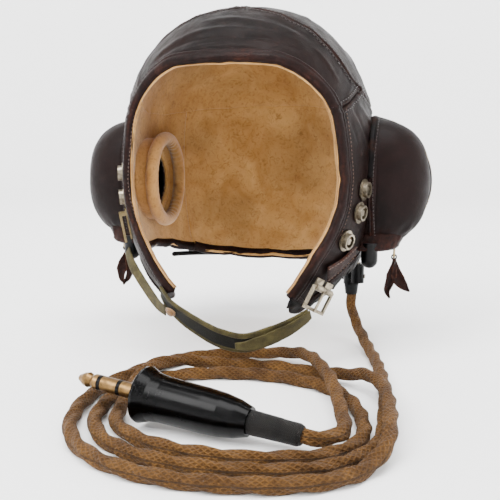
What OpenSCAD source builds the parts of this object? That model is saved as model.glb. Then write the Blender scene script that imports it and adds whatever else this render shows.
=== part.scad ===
// Leather flying helmet with zipped earphone pods, braided cord and bell plug.
// Units mm. Origin at the middle of the head on the ear axis, +Z up, the face
// looks towards -Y, +X is the wearer's left. The table is the plane z = table_z.

/* [Head shell] */
// Half width over the ears
head_half_width = 90; // [84:0.5:94]
// Depth in front of the ear axis
head_front = 100; // [94:1:106]
// Depth behind the ear axis
head_rear = 106; // [100:1:112]
// Height of the crown above the shell centre
head_up = 112; // [106:1:118]
// Leather thickness
leather_t = 2; // [1.2:0.1:2.4]
// Chamois lining thickness
lining_t = 2; // [1:0.1:3]

/* [Ear pods] */
// Outer radius of the pod along its zip
pod_r = 46.5; // [45:0.5:48]
// Reach of the pod towards the face, as a share of its radius
pod_front = 0.78; // [0.75:0.01:0.8]
// Reach of the pod towards the neck, as a share of its radius
pod_rear = 0.9; // [0.85:0.01:1]
// Squareness of the pod, where 2 is round
pod_square = 2.5; // [2.4:0.1:2.7]
// Pod leather thickness
pod_t = 2.5; // [1.5:0.1:3]
// Half width of the gap that the zip closes
zip_gap = 1.7; // [1.4:0.1:2.2]
// Teeth on each side of one zip
teeth = 28; // [20:1:32]
// Radius of the ear opening
ear_hole_r = 27; // [24:0.5:28]

/* [Zip pulls] */
// Radius of the pull ring, to the middle of its wire
ring_r = 4.6; // [4.4:0.1:5]
// Length of the leather pull tab
tab_len = 31; // [24:1:34]

/* [Studs and hook] */
// Outer radius of the stud flange
stud_flange_r = 7.3; // [6.5:0.1:7.5]
// Radius of the stud ring that a snap grips
stud_ring_r = 5.35; // [4.8:0.05:5.8]
// Height of the stud ring
stud_h = 3; // [2.5:0.1:4]

/* [Plug and cord] */
// Radius of the plug contact pin
pin_r = 4.2; // [3.8:0.05:4.4]
// Length of the contact pin in front of the shell
pin_len = 40; // [38:1:42]
// Radius of the plug flange
bell_r = 15.2; // [14.5:0.1:15.2]
// Cord radius
cord_r = 4; // [3.6:0.1:4]

/* [Hidden] */
$fn = 48;
head_z = 11;
head_down = 118;
nh = 2.1;
nv = 2.34;
table_z = -120;
pod = [83, 12, 1];
slide_r = 48;
park = -64;
lug_r = 51.2;
fit = 0.05;

leather = [0.24, 0.17, 0.16];
chamois = [0.78, 0.62, 0.40];
nickel = [0.78, 0.74, 0.66];
brass = [0.60, 0.50, 0.33];
black = [0.06, 0.06, 0.06];
olive = [0.34, 0.31, 0.23];
braid = [0.62, 0.46, 0.26];

// edges of the leather pieces as [degrees from the front, degrees up]
face_edge = [[0, 39], [13, 39], [24, 38.5], [32, 36], [39, 32], [45, 27], [48, 22],
  [49, 17], [50, 10], [50.5, 4], [52, -3], [51, -13], [47, -22], [40, -32],
  [37, -38], [32, -47]];
brow_seam = [[0, 71], [19, 69], [31, 65], [40, 60], [49, 56], [54, 50], [58, 46],
  [61, 41], [65, 36], [72, 32]];
temple_seam = [[48, 22], [58, 26], [72, 32]];
side_seam = [[72, 32], [81, 29], [95, 26], [112, 25], [130, 26]];
ear_bottom = [[32, -47], [40, -52], [48, -52.5], [57, -45], [70, -39.5], [84, -38],
  [96, -38], [112, -39], [130, -41]];
ear_rear = [[130, -41], [130, -20], [130, 0], [130, 26]];
crown_mid = [[0, 71], [0, 82], [180, 86], [180, 72], [180, 58], [180, 42], [180, 27]];
rear_seam = [[180, 27], [155, 26.5], [130, 26]];
neck_bottom = [[130, -41], [155, -43], [180, -43.5]];

// free cord, laid by hand: drop from the junction, two and a half turns, plug
z0 = -115.9;
zc = -107.4;
cord_route = [[73, 31, -87], [73.5, 29, -96], [77, 21, -105], [83, 6, -111.5],
  [90, -18, -115], [97, -46, z0], [102, -74, z0], [105.5, -100, z0],
  [107, -124, z0], [107.5, -144, z0], [108, -163, z0], [107, -181, z0],
  [100, -198, z0], [88, -212.5, z0], [71, -221.5, z0], [50, -226, z0],
  [30, -227.5, z0], [10, -225.5, z0], [-10, -219, z0], [-28, -207, z0],
  [-40.5, -189.5, z0], [-46.5, -168, z0], [-46, -144, z0], [-38, -122, z0],
  [-23, -106, z0], [-3, -97, z0], [20, -93, z0], [44, -95, z0], [65, -103, z0],
  [79, -114, z0], [88, -128, z0], [94, -144, z0], [97.5, -161, z0],
  [98.2, -177, z0], [92.5, -192.5, z0], [80.5, -204, z0], [64, -210, z0],
  [47, -213.5, z0], [28, -214, z0], [10, -211.5, z0], [-6, -206, z0],
  [-20, -197, z0], [-31, -183.5, z0], [-36, -166, z0], [-37, -146, -111.5],
  [-37, -128, zc], [-33, -110, zc], [-23, -94, -109.5], [-7, -82, -114],
  [14, -75.5, z0], [38, -75, z0], [61, -81, z0], [80, -90, -112.5],
  [95, -102, -108], [104, -118, zc], [108.5, -138, zc], [110.5, -158, zc],
  [111.5, -177, zc], [110.5, -195, -110.8], [102, -212, z0], [89, -226, z0],
  [70, -235, z0], [48, -240, z0], [26, -241.5, z0], [4, -239, z0],
  [-17, -231.5, z0], [-36, -218, z0], [-50, -199, z0], [-58, -176, z0],
  [-60.5, -152, z0], [-58, -127, z0], [-50, -103, z0], [-37, -81, z0],
  [-19, -62, z0], [5, -51, z0], [30, -52, -113.5], [47, -62, -109.5],
  [59, -78, zc], [67, -95, zc], [74, -113, zc], [79.5, -131, -109],
  [83.6, -149, -110.5], [87, -164, -111.5], [89, -175, -111.8],
  [88.8, -181.5, -111.9], [86.5, -187, -111.8], [82.3, -191.4, -111.6],
  [76.6, -194.1, -111.2], [70.6, -194.3, -110.6]];
start_dir = [0, 0, -1];
end_dir = [-0.9782, 0.1884, 0.0872];
plug_tip = [-58, -169.5, -99.1];
plug_tilt = 5;
plug_turn = -10.9;
bell_len = 63.5;
ferrule_len = 28;

function unit(v) = v / norm(v);
function dirv(p) = [sin(p[0]) * cos(p[1]), -cos(p[0]) * cos(p[1]), sin(p[1])];
function surf(d, o) = let (u = unit(d), b = u[1] < 0 ? head_front : head_rear,
    c = u[2] > 0 ? head_up : head_down,
    q = pow(abs(u[0]) / (head_half_width + o), nh) + pow(abs(u[1]) / (b + o), nh),
    s = pow(pow(q, nv / nh) + pow(abs(u[2]) / (c + o), nv), -1 / nv))
  u * s + [0, 0, head_z];
function side_x(y, z, o) = let (b = y < 0 ? head_front : head_rear,
    c = z > head_z ? head_up : head_down,
    k = pow(1 - pow(abs(z - head_z) / (c + o), nv), nh / nv))
  (head_half_width + o) * pow(max(0, k - pow(abs(y) / (b + o), nh)), 1 / nh);
function normal(p) = let (d = 0.5,
    a = surf(dirv([p[0] + d, p[1]]), 0) - surf(dirv([p[0] - d, p[1]]), 0),
    b = surf(dirv([p[0], p[1] + d]), 0) - surf(dirv([p[0], p[1] - d]), 0),
    n = unit(cross(a, b))) n * dirv(p) > 0 ? n : -n;
function lengths(v) = [for (i = 0, s = 0; i < len(v); i = i + 1,
    s = s + (i < len(v) ? norm(v[i] - v[i - 1]) : 0)) s];
function along(v, l, t) = let (w = t * l[len(l) - 1],
    k = min([for (i = [0:len(v) - 2]) if (w <= l[i + 1] + 0.000001) i]),
    f = (w - l[k]) / (l[k + 1] - l[k])) v[k] * (1 - f) + v[k + 1] * f;
function spread(p, n) = let (v = [for (q = p) dirv(q)], l = lengths(v))
  [for (i = [0:n]) along(v, l, i / n)];
function other(p) = [for (q = p) [-q[0], q[1]]];
function back(p) = [for (i = [len(p) - 1:-1:0]) p[i]];
// directions filling the space between four edges
function fill(c0, c1, d0, d1) = let (n = len(c0) - 1, m = len(d0) - 1)
  [for (j = [0:m]) [for (i = [0:n]) let (u = i / n, v = j / m)
    c0[i] * (1 - v) + c1[i] * v + d0[j] * (1 - u) + d1[j] * u
    - c0[0] * (1 - u) * (1 - v) - c0[n] * u * (1 - v)
    - c1[0] * (1 - u) * v - c1[n] * u * v]];

// closed sheet of even thickness over a grid of outer and inner points
module slab(outer, inner, flip = false) {
  m = len(outer) - 1;
  n = len(outer[0]) - 1;
  w = n + 1;
  q = (m + 1) * w;
  pts = concat([for (r = outer) each r], [for (r = inner) each r]);
  quads = concat(
    [for (j = [0:m - 1], i = [0:n - 1]) [j * w + i, j * w + i + 1, (j + 1) * w + i + 1,
      (j + 1) * w + i]],
    [for (j = [0:m - 1], i = [0:n - 1]) [q + (j + 1) * w + i, q + (j + 1) * w + i + 1,
      q + j * w + i + 1, q + j * w + i]],
    [for (i = [0:n - 1]) [i + 1, i, q + i, q + i + 1]],
    [for (i = [0:n - 1]) [m * w + i, m * w + i + 1, q + m * w + i + 1, q + m * w + i]],
    [for (j = [0:m - 1]) [j * w, (j + 1) * w, q + (j + 1) * w, q + j * w]],
    [for (j = [0:m - 1]) [(j + 1) * w + n, j * w + n, q + j * w + n,
      q + (j + 1) * w + n]]);
  tris = [for (f = quads) each [[f[0], f[1], f[2]], [f[0], f[2], f[3]]]];
  polyhedron(pts, flip ? tris : [for (t = tris) [t[2], t[1], t[0]]], convexity = 8);
}
// a piece cut from the head shell, between offsets lo and hi
module piece(c0, c1, d0, d1, lo, hi) {
  g = fill(c0, c1, d0, d1);
  a = g[0][1] - g[0][0];
  b = g[1][0] - g[0][0];
  out = cross(a, b) * g[0][0] > 0;
  slab([for (r = g) [for (d = r) surf(d, hi)]], [for (r = g) [for (d = r) surf(d, lo)]],
    !out);
}
module onhead(p, off = 0, roll = 0) {
  n = normal(p);
  translate(surf(dirv(p), 0) + n * off)
    rotate([0, acos(n[2]), atan2(n[1], n[0])]) rotate([0, 0, roll]) children();
}
module both() {
  children();
  mirror([1, 0, 0]) children();
}

// ---- leather shell
module ear_patch(lo, hi) {
  piece(spread(ear_bottom, 16), spread(concat(temple_seam, [for (i = [1:4]) side_seam[i]]), 16),
    spread([for (i = [15:-1:6]) face_edge[i]], 10), spread(ear_rear, 10), lo, hi);
}
module crown_patch(lo, hi) {
  piece(spread(brow_seam, 12), spread(rear_seam, 12), spread(crown_mid, 16),
    spread(side_seam, 16), lo, hi);
}
module brow_panel() color(leather) {
  half = [for (i = [0:6]) face_edge[i]];
  low = concat(back(other(half)), [for (i = [1:6]) half[i]]);
  top = concat(back(other(brow_seam)), [for (i = [1:9]) brow_seam[i]]);
  piece(spread(low, 28), spread(top, 28), spread(other(temple_seam), 6),
    spread(temple_seam, 6), -leather_t, 0);
}
module crown_panel_left() color(leather) crown_patch(-leather_t, 0);
module crown_panel_right() color(leather) mirror([1, 0, 0]) crown_patch(-leather_t, 0);
module ear_hole() translate([60, pod[1], pod[2]]) rotate([0, 90, 0])
  cylinder(r = ear_hole_r, h = 40);
module ear_panel() difference() {
  ear_patch(-leather_t, 0);
  ear_hole();
}
module ear_panel_left() color(leather) ear_panel();
module ear_panel_right() color(leather) mirror([1, 0, 0]) ear_panel();
module neck_patch(lo, hi) {
  low = concat(neck_bottom, [for (i = [1:-1:0]) [360 - neck_bottom[i][0], neck_bottom[i][1]]]);
  top = concat(back(rear_seam), [for (i = [1:2]) [360 - rear_seam[i][0], rear_seam[i][1]]]);
  far = [for (p = ear_rear) [360 - p[0], p[1]]];
  piece(spread(low, 16), spread(top, 16), spread(ear_rear, 10), spread(far, 10), lo, hi);
}
module neck_panel() color(leather) neck_patch(-leather_t, 0);
module face_hem() color(leather) {
  full = concat(back(other(face_edge)), [for (i = [1:15]) face_edge[i]]);
  e = spread(full, 60);
  t = [for (i = [0:60]) unit(e[min(60, i + 1)] - e[max(0, i - 1)])];
  o = [for (i = [0:60]) unit(unit(e[i]) + 0.072 * unit(cross(t[i], e[i])))];
  slab([[for (d = e) surf(d, 1.5)], [for (d = o) surf(d, 1.5)]],
    [[for (d = e) surf(d, 0.1)], [for (d = o) surf(d, 0.1)]], false);
}

// ---- lining
lin_hi = -leather_t - 0.4;
lin_lo = lin_hi - lining_t;
module lining_crown() color(chamois) {
  half = [for (i = [0:6]) face_edge[i]];
  low = concat(back(other(half)), [for (i = [1:6]) half[i]]);
  top = concat([[-130, 26], [-155, 26.5], [-180, 27]], [[155, 26.5], [130, 26]]);
  side = concat(temple_seam, [for (i = [1:4]) side_seam[i]]);
  piece(spread(low, 24), spread(top, 24), spread(other(side), 20), spread(side, 20),
    lin_lo, lin_hi);
}
module lining_side() difference() {
  ear_patch(lin_lo, lin_hi);
  ear_hole();
}
module lining_left() color(chamois) lining_side();
module lining_right() color(chamois) mirror([1, 0, 0]) lining_side();
module lining_neck() color(chamois) neck_patch(lin_lo, lin_hi);
module ear_cushions() color(chamois) both()
  translate([70.5, pod[1], pod[2]]) rotate([0, 90, 0])
    rotate_extrude() translate([ear_hole_r + 4.5, 0]) circle(r = 5, $fn = 32);

// ---- ear pods
function ease(x, a, b) = let (t = min(1, max(0, (x - a) / (b - a)))) t * t * (3 - 2 * t);
// a point of the pod in direction d, s = -1 for the half towards the face
function pod_point(d, s, t) = let (u = unit(d), f = s < 0 ? pod_front : pod_rear,
    q = pod_square, y = abs(u[1]), w = ease(y * pod_r, 5, 12),
    k = pow(pow(abs(u[0]), q) + pow(y / f, q) + pow(abs(u[2]), q), -1 / q),
    r = pod_r * (1 + (k - 1) * w) - t)
  pod + [u[0] * r, s * (zip_gap + y * r * (pod_r - zip_gap) / pod_r), u[2] * r];
function pod_foot(p) = [side_x(p[1], p[2], 0.45), p[1], p[2]];
module pod_half(s) {
  m = 24;
  n = 12;
  seam = [for (i = [0:m]) let (a = 84.5 - i * 173 / m) [cos(a), 0, sin(a)]];
  rim = [for (i = [0:m]) let (a = 96 + i * 168 / m)
    [cos(82), -sin(82) * cos(a), sin(82) * sin(a)]];
  top = [for (j = [0:n]) seam[0] * (1 - j / n) + rim[0] * j / n];
  low = [for (j = [0:n]) seam[m] * (1 - j / n) + rim[m] * j / n];
  g = fill(seam, rim, top, low);
  outer = [for (r = g) [for (d = r) pod_point(d, s, 0)]];
  inner = [for (r = g) [for (d = r) pod_point(d, s, pod_t)]];
  slab(concat(outer, [[for (p = outer[n]) pod_foot(p)]]),
    concat(inner, [[for (p = inner[n]) pod_foot(p)]]), s > 0);
}
module pod_front_left() color(leather) pod_half(-1);
module pod_rear_left() color(leather) pod_half(1);
module pod_front_right() color(leather) mirror([1, 0, 0]) pod_half(-1);
module pod_rear_right() color(leather) mirror([1, 0, 0]) pod_half(1);

// ---- zips: teeth stand in the gap between the two halves of each pod
tooth_step = 134 / teeth;
module tooth_row(s) for (i = [0:teeth - 1])
  translate(pod) rotate([0, -(park - 1 + (i + (s > 0 ? 0.5 : 0)) * tooth_step), 0])
    translate([45.4, s > 0 ? -0.9 : -zip_gap + 0.05, -0.75])
      cube([2.2, zip_gap + 0.85, 1.5]);
module zip_teeth_front() color(brass) both() tooth_row(-1);
module zip_teeth_rear() color(brass) both() tooth_row(1);
// local frame: +X away from the pod centre, Z along the zip, Y across it
module at_slider() translate(pod) rotate([0, -park, 0]) children();
module slider() at_slider() difference() {
  union() {
    translate([slide_r, -4, -4.5]) cube([1.4, 8, 9]);
    for (s = [-4, 2.9]) translate([46.9, s, -4.5]) cube([1.3, 1.1, 9]);
    translate([49.2, -0.8, -2.4]) cube([lug_r - 49.2, 1.6, 4.8]);
    translate([lug_r, 0.8, 0]) rotate([90, 0, 0]) cylinder(r = 2.4, h = 1.6);
  }
  translate([lug_r, 5, 0]) rotate([90, 0, 0]) cylinder(r = 0.8, h = 10);
}
module zip_slider_left() color(brass) slider();
module zip_slider_right() color(brass) mirror([1, 0, 0]) slider();
px = pod[0] + lug_r * cos(park);
pz = pod[2] + lug_r * sin(park);
module pull_ring() translate([px, pod[1], pz - ring_r]) {
  difference() {
    rotate([0, 90, 0]) rotate_extrude() translate([ring_r, 0]) circle(r = 0.7, $fn = 20);
    translate([-2, -1.4, -8]) cube([4, 2.8, 16]);
  }
  for (s = [-1, 1]) translate([0, 1.45, s * ring_r]) rotate([90, 0, 0])
    cylinder(r = 0.75, h = 2.9);
}
module zip_ring_left() color(brass) pull_ring();
module zip_ring_right() color(brass) mirror([1, 0, 0]) pull_ring();
module pull_tab() translate([px, pod[1], pz - 2 * ring_r]) {
  difference() {
    union() {
      translate([0, 1.3, 0]) rotate([90, 0, 0]) cylinder(r = 2, h = 2.6);
      translate([-1, -1.3, -7]) cube([2, 2.6, 7]);
      translate([1, 0, 0]) rotate([0, -90, 0]) linear_extrude(2)
        polygon([[-7, -2], [-7, 2], [-10, 4.2], [-20, 5.4], [-tab_len + 4, 2.6],
          [-tab_len, -3.5], [-20, -5], [-10, -4.2]]);
    }
    translate([0, 5, 0]) rotate([90, 0, 0]) cylinder(r = 0.75 + fit, h = 10);
  }
}
module zip_tab_left() color(leather) pull_tab();
module zip_tab_right() color(leather) mirror([1, 0, 0]) pull_tab();

// ---- earphone receivers, one in each pod
module spin(x) translate([x, pod[1], pod[2]]) rotate([0, 90, 0]) children();
module receiver_cases() color(black) both() spin(93) difference() {
  cylinder(r = 26.5, h = 18);
  translate([0, 0, -1]) cylinder(r = 24, h = 16.5);
}
module receiver_caps() color(black) both() spin(88.2) difference() {
  cylinder(r = 26.5, h = 4.5);
  translate([0, 0, 2.5]) cylinder(r = 24, h = 3);
  translate([0, 0, -1]) cylinder(r = 3, h = 5);
  for (a = [0:60:300]) rotate([0, 0, a]) translate([9, 0, -1]) cylinder(r = 2, h = 5);
}
module diaphragms() color(nickel) both() spin(92.8) cylinder(r = 23.8, h = 0.4);
module voice_magnets() color(nickel) both() {
  spin(97) difference() {
    cylinder(r = 14, h = 11.4);
    translate([0, 0, -1]) cylinder(r = 9, h = 8);
  }
  spin(94.5) cylinder(r = 4, h = 10);
}
module rubber_stubs() color(black) both() translate([89, -15, 0]) {
  translate([0, 0, -52.6]) cylinder(r = 5.9, h = 12.3);
  translate([0, 0, -52.6]) sphere(r = 5.9);
}

// ---- press studs and hook
studs_left = [[68, -8], [65, -17], [57, -27]];
studs_right = [[63, -2], [61, -12]];
module each_stud() {
  for (p = studs_left) onhead(p, 0.35) children();
  mirror([1, 0, 0]) for (p = studs_right) onhead(p, 0.35) children();
}
module stud_flanges() color(nickel) each_stud() cylinder(r = stud_flange_r, h = 1);
module stud_rings() color(nickel) each_stud() translate([0, 0, 1]) {
  difference() {
    cylinder(r = stud_ring_r, h = stud_h);
    translate([0, 0, -1]) cylinder(r = stud_ring_r - 1.3, h = stud_h + 2);
  }
  cylinder(r = 2.2, h = stud_h - 0.8);
}
module mask_hook() color(brass) mirror([1, 0, 0]) onhead([60, -23], 0.35, 4) {
  translate([-11, -3.5, 0]) cube([22, 7, 1]);
  translate([-9, -1.5, 1]) cube([3, 3, 3]);
  translate([-9, -2.2, 4]) cube([22, 4.4, 1.6]);
}

// ---- straps
function catmull(p, i, t) = let (n = len(p) - 1, a = p[max(0, i - 1)], b = p[i],
    c = p[i + 1], d = p[min(n, i + 2)])
  0.5 * (2 * b + (c - a) * t + (2 * a - 5 * b + 4 * c - d) * t * t
    + (3 * b - a - 3 * c + d) * t * t * t);
function smooth(p, k) = concat([for (i = [0:len(p) - 2], j = [0:k - 1])
    catmull(p, i, j / k)], [p[len(p) - 1]]);
// flat strap along a route, wide across the given side directions
module strap(route, wide, thick, k = 3) {
  p = smooth(route, k);
  n = len(p) - 1;
  t = [for (i = [0:n]) unit(p[min(n, i + 1)] - p[max(0, i - 1)])];
  c = [0, 0, -20];
  o = [for (i = [0:n]) let (r = p[i] - c) unit(r - t[i] * (r * t[i]))];
  s = [for (i = [0:n]) cross(t[i], o[i]) * wide / 2];
  slab([for (q = [-1, 1]) [for (i = [0:n]) p[i] + s[i] * q + o[i] * thick]],
    [for (q = [-1, 1]) [for (i = [0:n]) p[i] + s[i] * q]], false);
}
module chin_strap() color(olive) strap([[52.6, -63.8, -82.5], [45, -69, -87.5], [31, -76, -94.5],
  [14.5, -80, -99.5], [-2, -80, -97.5], [-18, -76, -92], [-31, -71, -86],
  [-42, -65.5, -79.5], [-49, -61, -72]], 11, 2.6);
module chin_elastic() color(olive) strap([[-88, -25, -50.5], [-82.5, -32, -58.5],
  [-73, -41, -67.5], [-61, -52, -76], [-51.5, -60.5, -82]], 7, 1.4);
module chin_button() color(braid) translate([-39.6, -70.3, -84.55]) rotate([129, 0, -29.3])
  for (z = [0, 1.6]) translate([0, 0, z]) cylinder(r1 = 4.2 - z, r2 = 3.6 - z, h = 1.5);
module buckle_strap() color(leather) {
  low = [[66, -34], [58, -37.5], [50, -40.8]];
  top = [[64.5, -29.8], [56.5, -33], [47.5, -35.3]];
  piece(spread(low, 8), spread(top, 8), spread([low[0], top[0]], 2),
    spread([low[2], top[2]], 2), 2, 4);
}
// buckle frame hinges on the bar of its hanger; local X runs down the strap
buckle_at = [62.5, -60, -66.5];
buckle_turn = [-116, 62, -152];
module at_buckle() translate(buckle_at) rotate(buckle_turn) children();
module buckle_hanger() color(nickel) at_buckle() {
  difference() {
    translate([0, 8.5, 0]) rotate([90, 0, 0]) cylinder(r = 2.1, h = 17);
    translate([0, 10, 0]) rotate([90, 0, 0]) cylinder(r = 1.15, h = 20);
    translate([-5, -1.6, -5]) cube([10, 3.2, 10]);
  }
  for (s = [-8.5, 1.6]) translate([-6, s, -2.1]) cube([4.5, 6.9, 1]);
}
module buckle_frame() color(nickel) at_buckle() {
  translate([0, 10.6, 0]) rotate([90, 0, 0]) cylinder(r = 1.1, h = 21.2);
  for (s = [-10.6, 8.8]) translate([0, s, -0.9]) cube([15, 1.8, 1.8]);
  translate([13.4, -10.6, -0.9]) cube([2.2, 21.2, 1.8]);
}
module buckle_prong() color(nickel) at_buckle() {
  difference() {
    union() {
      translate([0, 1.2, 0]) rotate([90, 0, 0]) cylinder(r = 2, h = 2.4);
      translate([0.5, -0.9, 1.0]) cube([15.2, 1.8, 1]);
    }
    translate([0, 5, 0]) rotate([90, 0, 0]) cylinder(r = 1.15, h = 10);
  }
}
module goggle_tab() color(leather) piece(spread([[176, 2], [184, 2]], 2),
  spread([[176, 30], [184, 30]], 2), spread([[176, 2], [176, 30]], 8),
  spread([[184, 2], [184, 30]], 8), 0.4, 2.2);
module goggle_tab_stud() color(nickel) onhead([180, 6], 2.4) {
  cylinder(r = 5.5, h = 1);
  translate([0, 0, 1]) cylinder(r = 4.2, h = 1.2);
}

// ---- junction box, leads and cord
box = [73, 31, -79];
module junction_box() color(black) translate(box) {
  cylinder(r = 6.2, h = 17);
  translate([5, -6, 2]) cylinder(r = 5, h = 15);
  translate([-4, 8, 2]) cylinder(r = 5, h = 15);
  translate([-3, -3, 17]) cylinder(r = 5, h = 3);
}
module junction_screws() color(nickel) translate(box) {
  translate([5, -6, 17]) cylinder(r = 2, h = 0.8);
  translate([-4, 8, 17]) cylinder(r = 2, h = 0.8);
  translate([10, -6, 7]) rotate([0, 90, 0]) cylinder(r = 1.6, h = 0.8);
}
module tube(route, radius, sides, k, first, last) {
  p = k > 1 ? smooth(route, k) : route;
  n = len(p) - 1;
  t = [for (i = [0:n]) i == 0 ? unit(first) : i == n ? unit(last) :
    unit(unit(p[i + 1] - p[i]) + unit(p[i] - p[i - 1]))];
  seed = abs(t[0][2]) > 0.9 ? [1, 0, 0] : [0, 0, 1];
  u = [for (i = 0, w = unit(seed - t[0] * (seed * t[0])); i <= n; i = i + 1,
      w = i <= n ? unit(w - t[i] * (w * t[i])) : w) w];
  pts = [for (i = [0:n], a = [0:sides - 1]) p[i] + radius
    * (u[i] * cos(a * 360 / sides) + cross(t[i], u[i]) * sin(a * 360 / sides))];
  walls = [for (i = [0:n - 1], a = [0:sides - 1]) let (b = (a + 1) % sides)
    each [[i * sides + a, (i + 1) * sides + a, (i + 1) * sides + b],
      [i * sides + a, (i + 1) * sides + b, i * sides + b]]];
  ends = [[for (a = [0:sides - 1]) a], [for (a = [sides - 1:-1:0]) n * sides + a]];
  polyhedron(pts, concat(walls, ends), convexity = 10);
}
module receiver_lead_left() color(black) tube([[88, 33, -45.2], [84.5, 33, -49.5],
  [81, 32.5, -53], [78, 31.8, -56.6]], 2, 8, 3, [-3, 0, -3], [-3, -1, -4]);
module receiver_lead_right() color(black) tube([for (a = [-53.5:6.5:63.6])
  surf(dirv([180 + a, -42 + 1 * cos(a)]), 3)], 2, 8, 1, [-1, 2, 0], [1, -2, 0]);
module cord_gland() color(black) translate([73, 31, -87]) cylinder(r1 = 4.6, r2 = 5.6, h = 8);
module cord() color(braid) tube(cord_route, cord_r, 10, 1, start_dir, end_dir);

// ---- plug, its axis running from the tip to the ferrule
module at_plug() translate(plug_tip)
  rotate([0, 90 + plug_tilt, plug_turn]) children();
module plug_contacts() color(brass) at_plug() {
  rotate_extrude() polygon([[0, 0], [1.6, 0], [3.6, 3.5], [pin_r, 6], [3.2, 8.5],
    [pin_r, 10.5], [pin_r, 13], [0, 13]]);
  for (z = [[15.5, 10], [28, 7.5], [37.5, pin_len - 37.5]]) translate([0, 0, z[0]])
    cylinder(r = pin_r, h = z[1]);
}
module plug_insulators() color(black) at_plug()
  for (z = [[13, 2.5], [25.5, 2.5], [35.5, 2]]) translate([0, 0, z[0]])
    cylinder(r = pin_r, h = z[1]);
module plug_shell() color(black) at_plug() translate([0, 0, pin_len]) rotate_extrude()
  polygon([[0, 0], [13.6, 0], [14.8, 0.9], [bell_r, 2.4], [14.4, 4.4], [13, 8],
    [12.2, 14], [12, 24], [11.8, 38], [11.2, 48], [9.8, 56.5], [7.6, bell_len],
    [0, bell_len]]);
module plug_ferrule() color(black) at_plug() translate([0, 0, pin_len + bell_len])
  cylinder(r1 = 6.4, r2 = 5.6, h = ferrule_len);

brow_panel();
crown_panel_left();
crown_panel_right();
ear_panel_left();
ear_panel_right();
neck_panel();
face_hem();
lining_crown();
lining_left();
lining_right();
lining_neck();
pod_front_left();
pod_rear_left();
pod_front_right();
pod_rear_right();
zip_teeth_front();
zip_teeth_rear();
zip_slider_left();
zip_slider_right();
zip_ring_left();
zip_ring_right();
zip_tab_left();
zip_tab_right();
receiver_cases();
receiver_caps();
diaphragms();
voice_magnets();
ear_cushions();
rubber_stubs();
stud_flanges();
stud_rings();
mask_hook();
chin_strap();
chin_elastic();
chin_button();
buckle_strap();
buckle_frame();
buckle_prong();
buckle_hanger();
goggle_tab();
goggle_tab_stud();
junction_box();
junction_screws();
receiver_lead_left();
receiver_lead_right();
cord_gland();
cord();
plug_shell();
plug_contacts();
plug_insulators();
plug_ferrule();
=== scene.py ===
import math
import bpy
import bmesh
import numpy as np
from mathutils import Matrix, Vector


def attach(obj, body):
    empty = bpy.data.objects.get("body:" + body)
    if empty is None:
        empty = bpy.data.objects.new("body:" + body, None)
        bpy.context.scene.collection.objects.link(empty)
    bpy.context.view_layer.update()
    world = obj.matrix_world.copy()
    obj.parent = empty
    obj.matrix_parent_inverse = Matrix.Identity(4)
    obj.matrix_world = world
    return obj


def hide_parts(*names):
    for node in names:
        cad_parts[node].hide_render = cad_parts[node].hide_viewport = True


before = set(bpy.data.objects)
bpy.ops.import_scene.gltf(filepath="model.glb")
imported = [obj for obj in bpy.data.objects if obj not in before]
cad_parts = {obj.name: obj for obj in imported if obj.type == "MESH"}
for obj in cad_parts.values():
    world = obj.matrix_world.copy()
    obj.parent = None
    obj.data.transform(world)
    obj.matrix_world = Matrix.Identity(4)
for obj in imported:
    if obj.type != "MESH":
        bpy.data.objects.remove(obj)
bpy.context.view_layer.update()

# All lengths in the functions below are millimetres; build() turns them into metres.
MM = 0.001
SHELL = dict(a=90.0, front=100.0, rear=106.0, up=112.0, down=118.0, z=11.0, nh=2.1, nv=2.34)
SHELL_MID = np.array([0, 0, SHELL["z"]])
POD = np.array([83.0, 12.0, 1.0])
POD_R = 46.5
ZIP_GAP = 1.7
EAR_HOLE_R = 27.2
LEATHER = 2.0
TABLE = -120.0
TURN = 2 * math.pi
scene = bpy.context.scene

# ---------------------------------------------------------------- camera and cord
cam_data = bpy.data.cameras.new("camera")
cam_data.lens = 51.84
cam_data.sensor_width = 36.0
camera = bpy.data.objects.new("camera", cam_data)
scene.collection.objects.link(camera)
camera.location = (0.12057, -0.52226, 0.031)
look = Vector((-0.2237, 0.9629, -0.1510))
camera.rotation_euler = look.to_track_quat("-Z", "Y").to_euler()
scene.camera = camera

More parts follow.
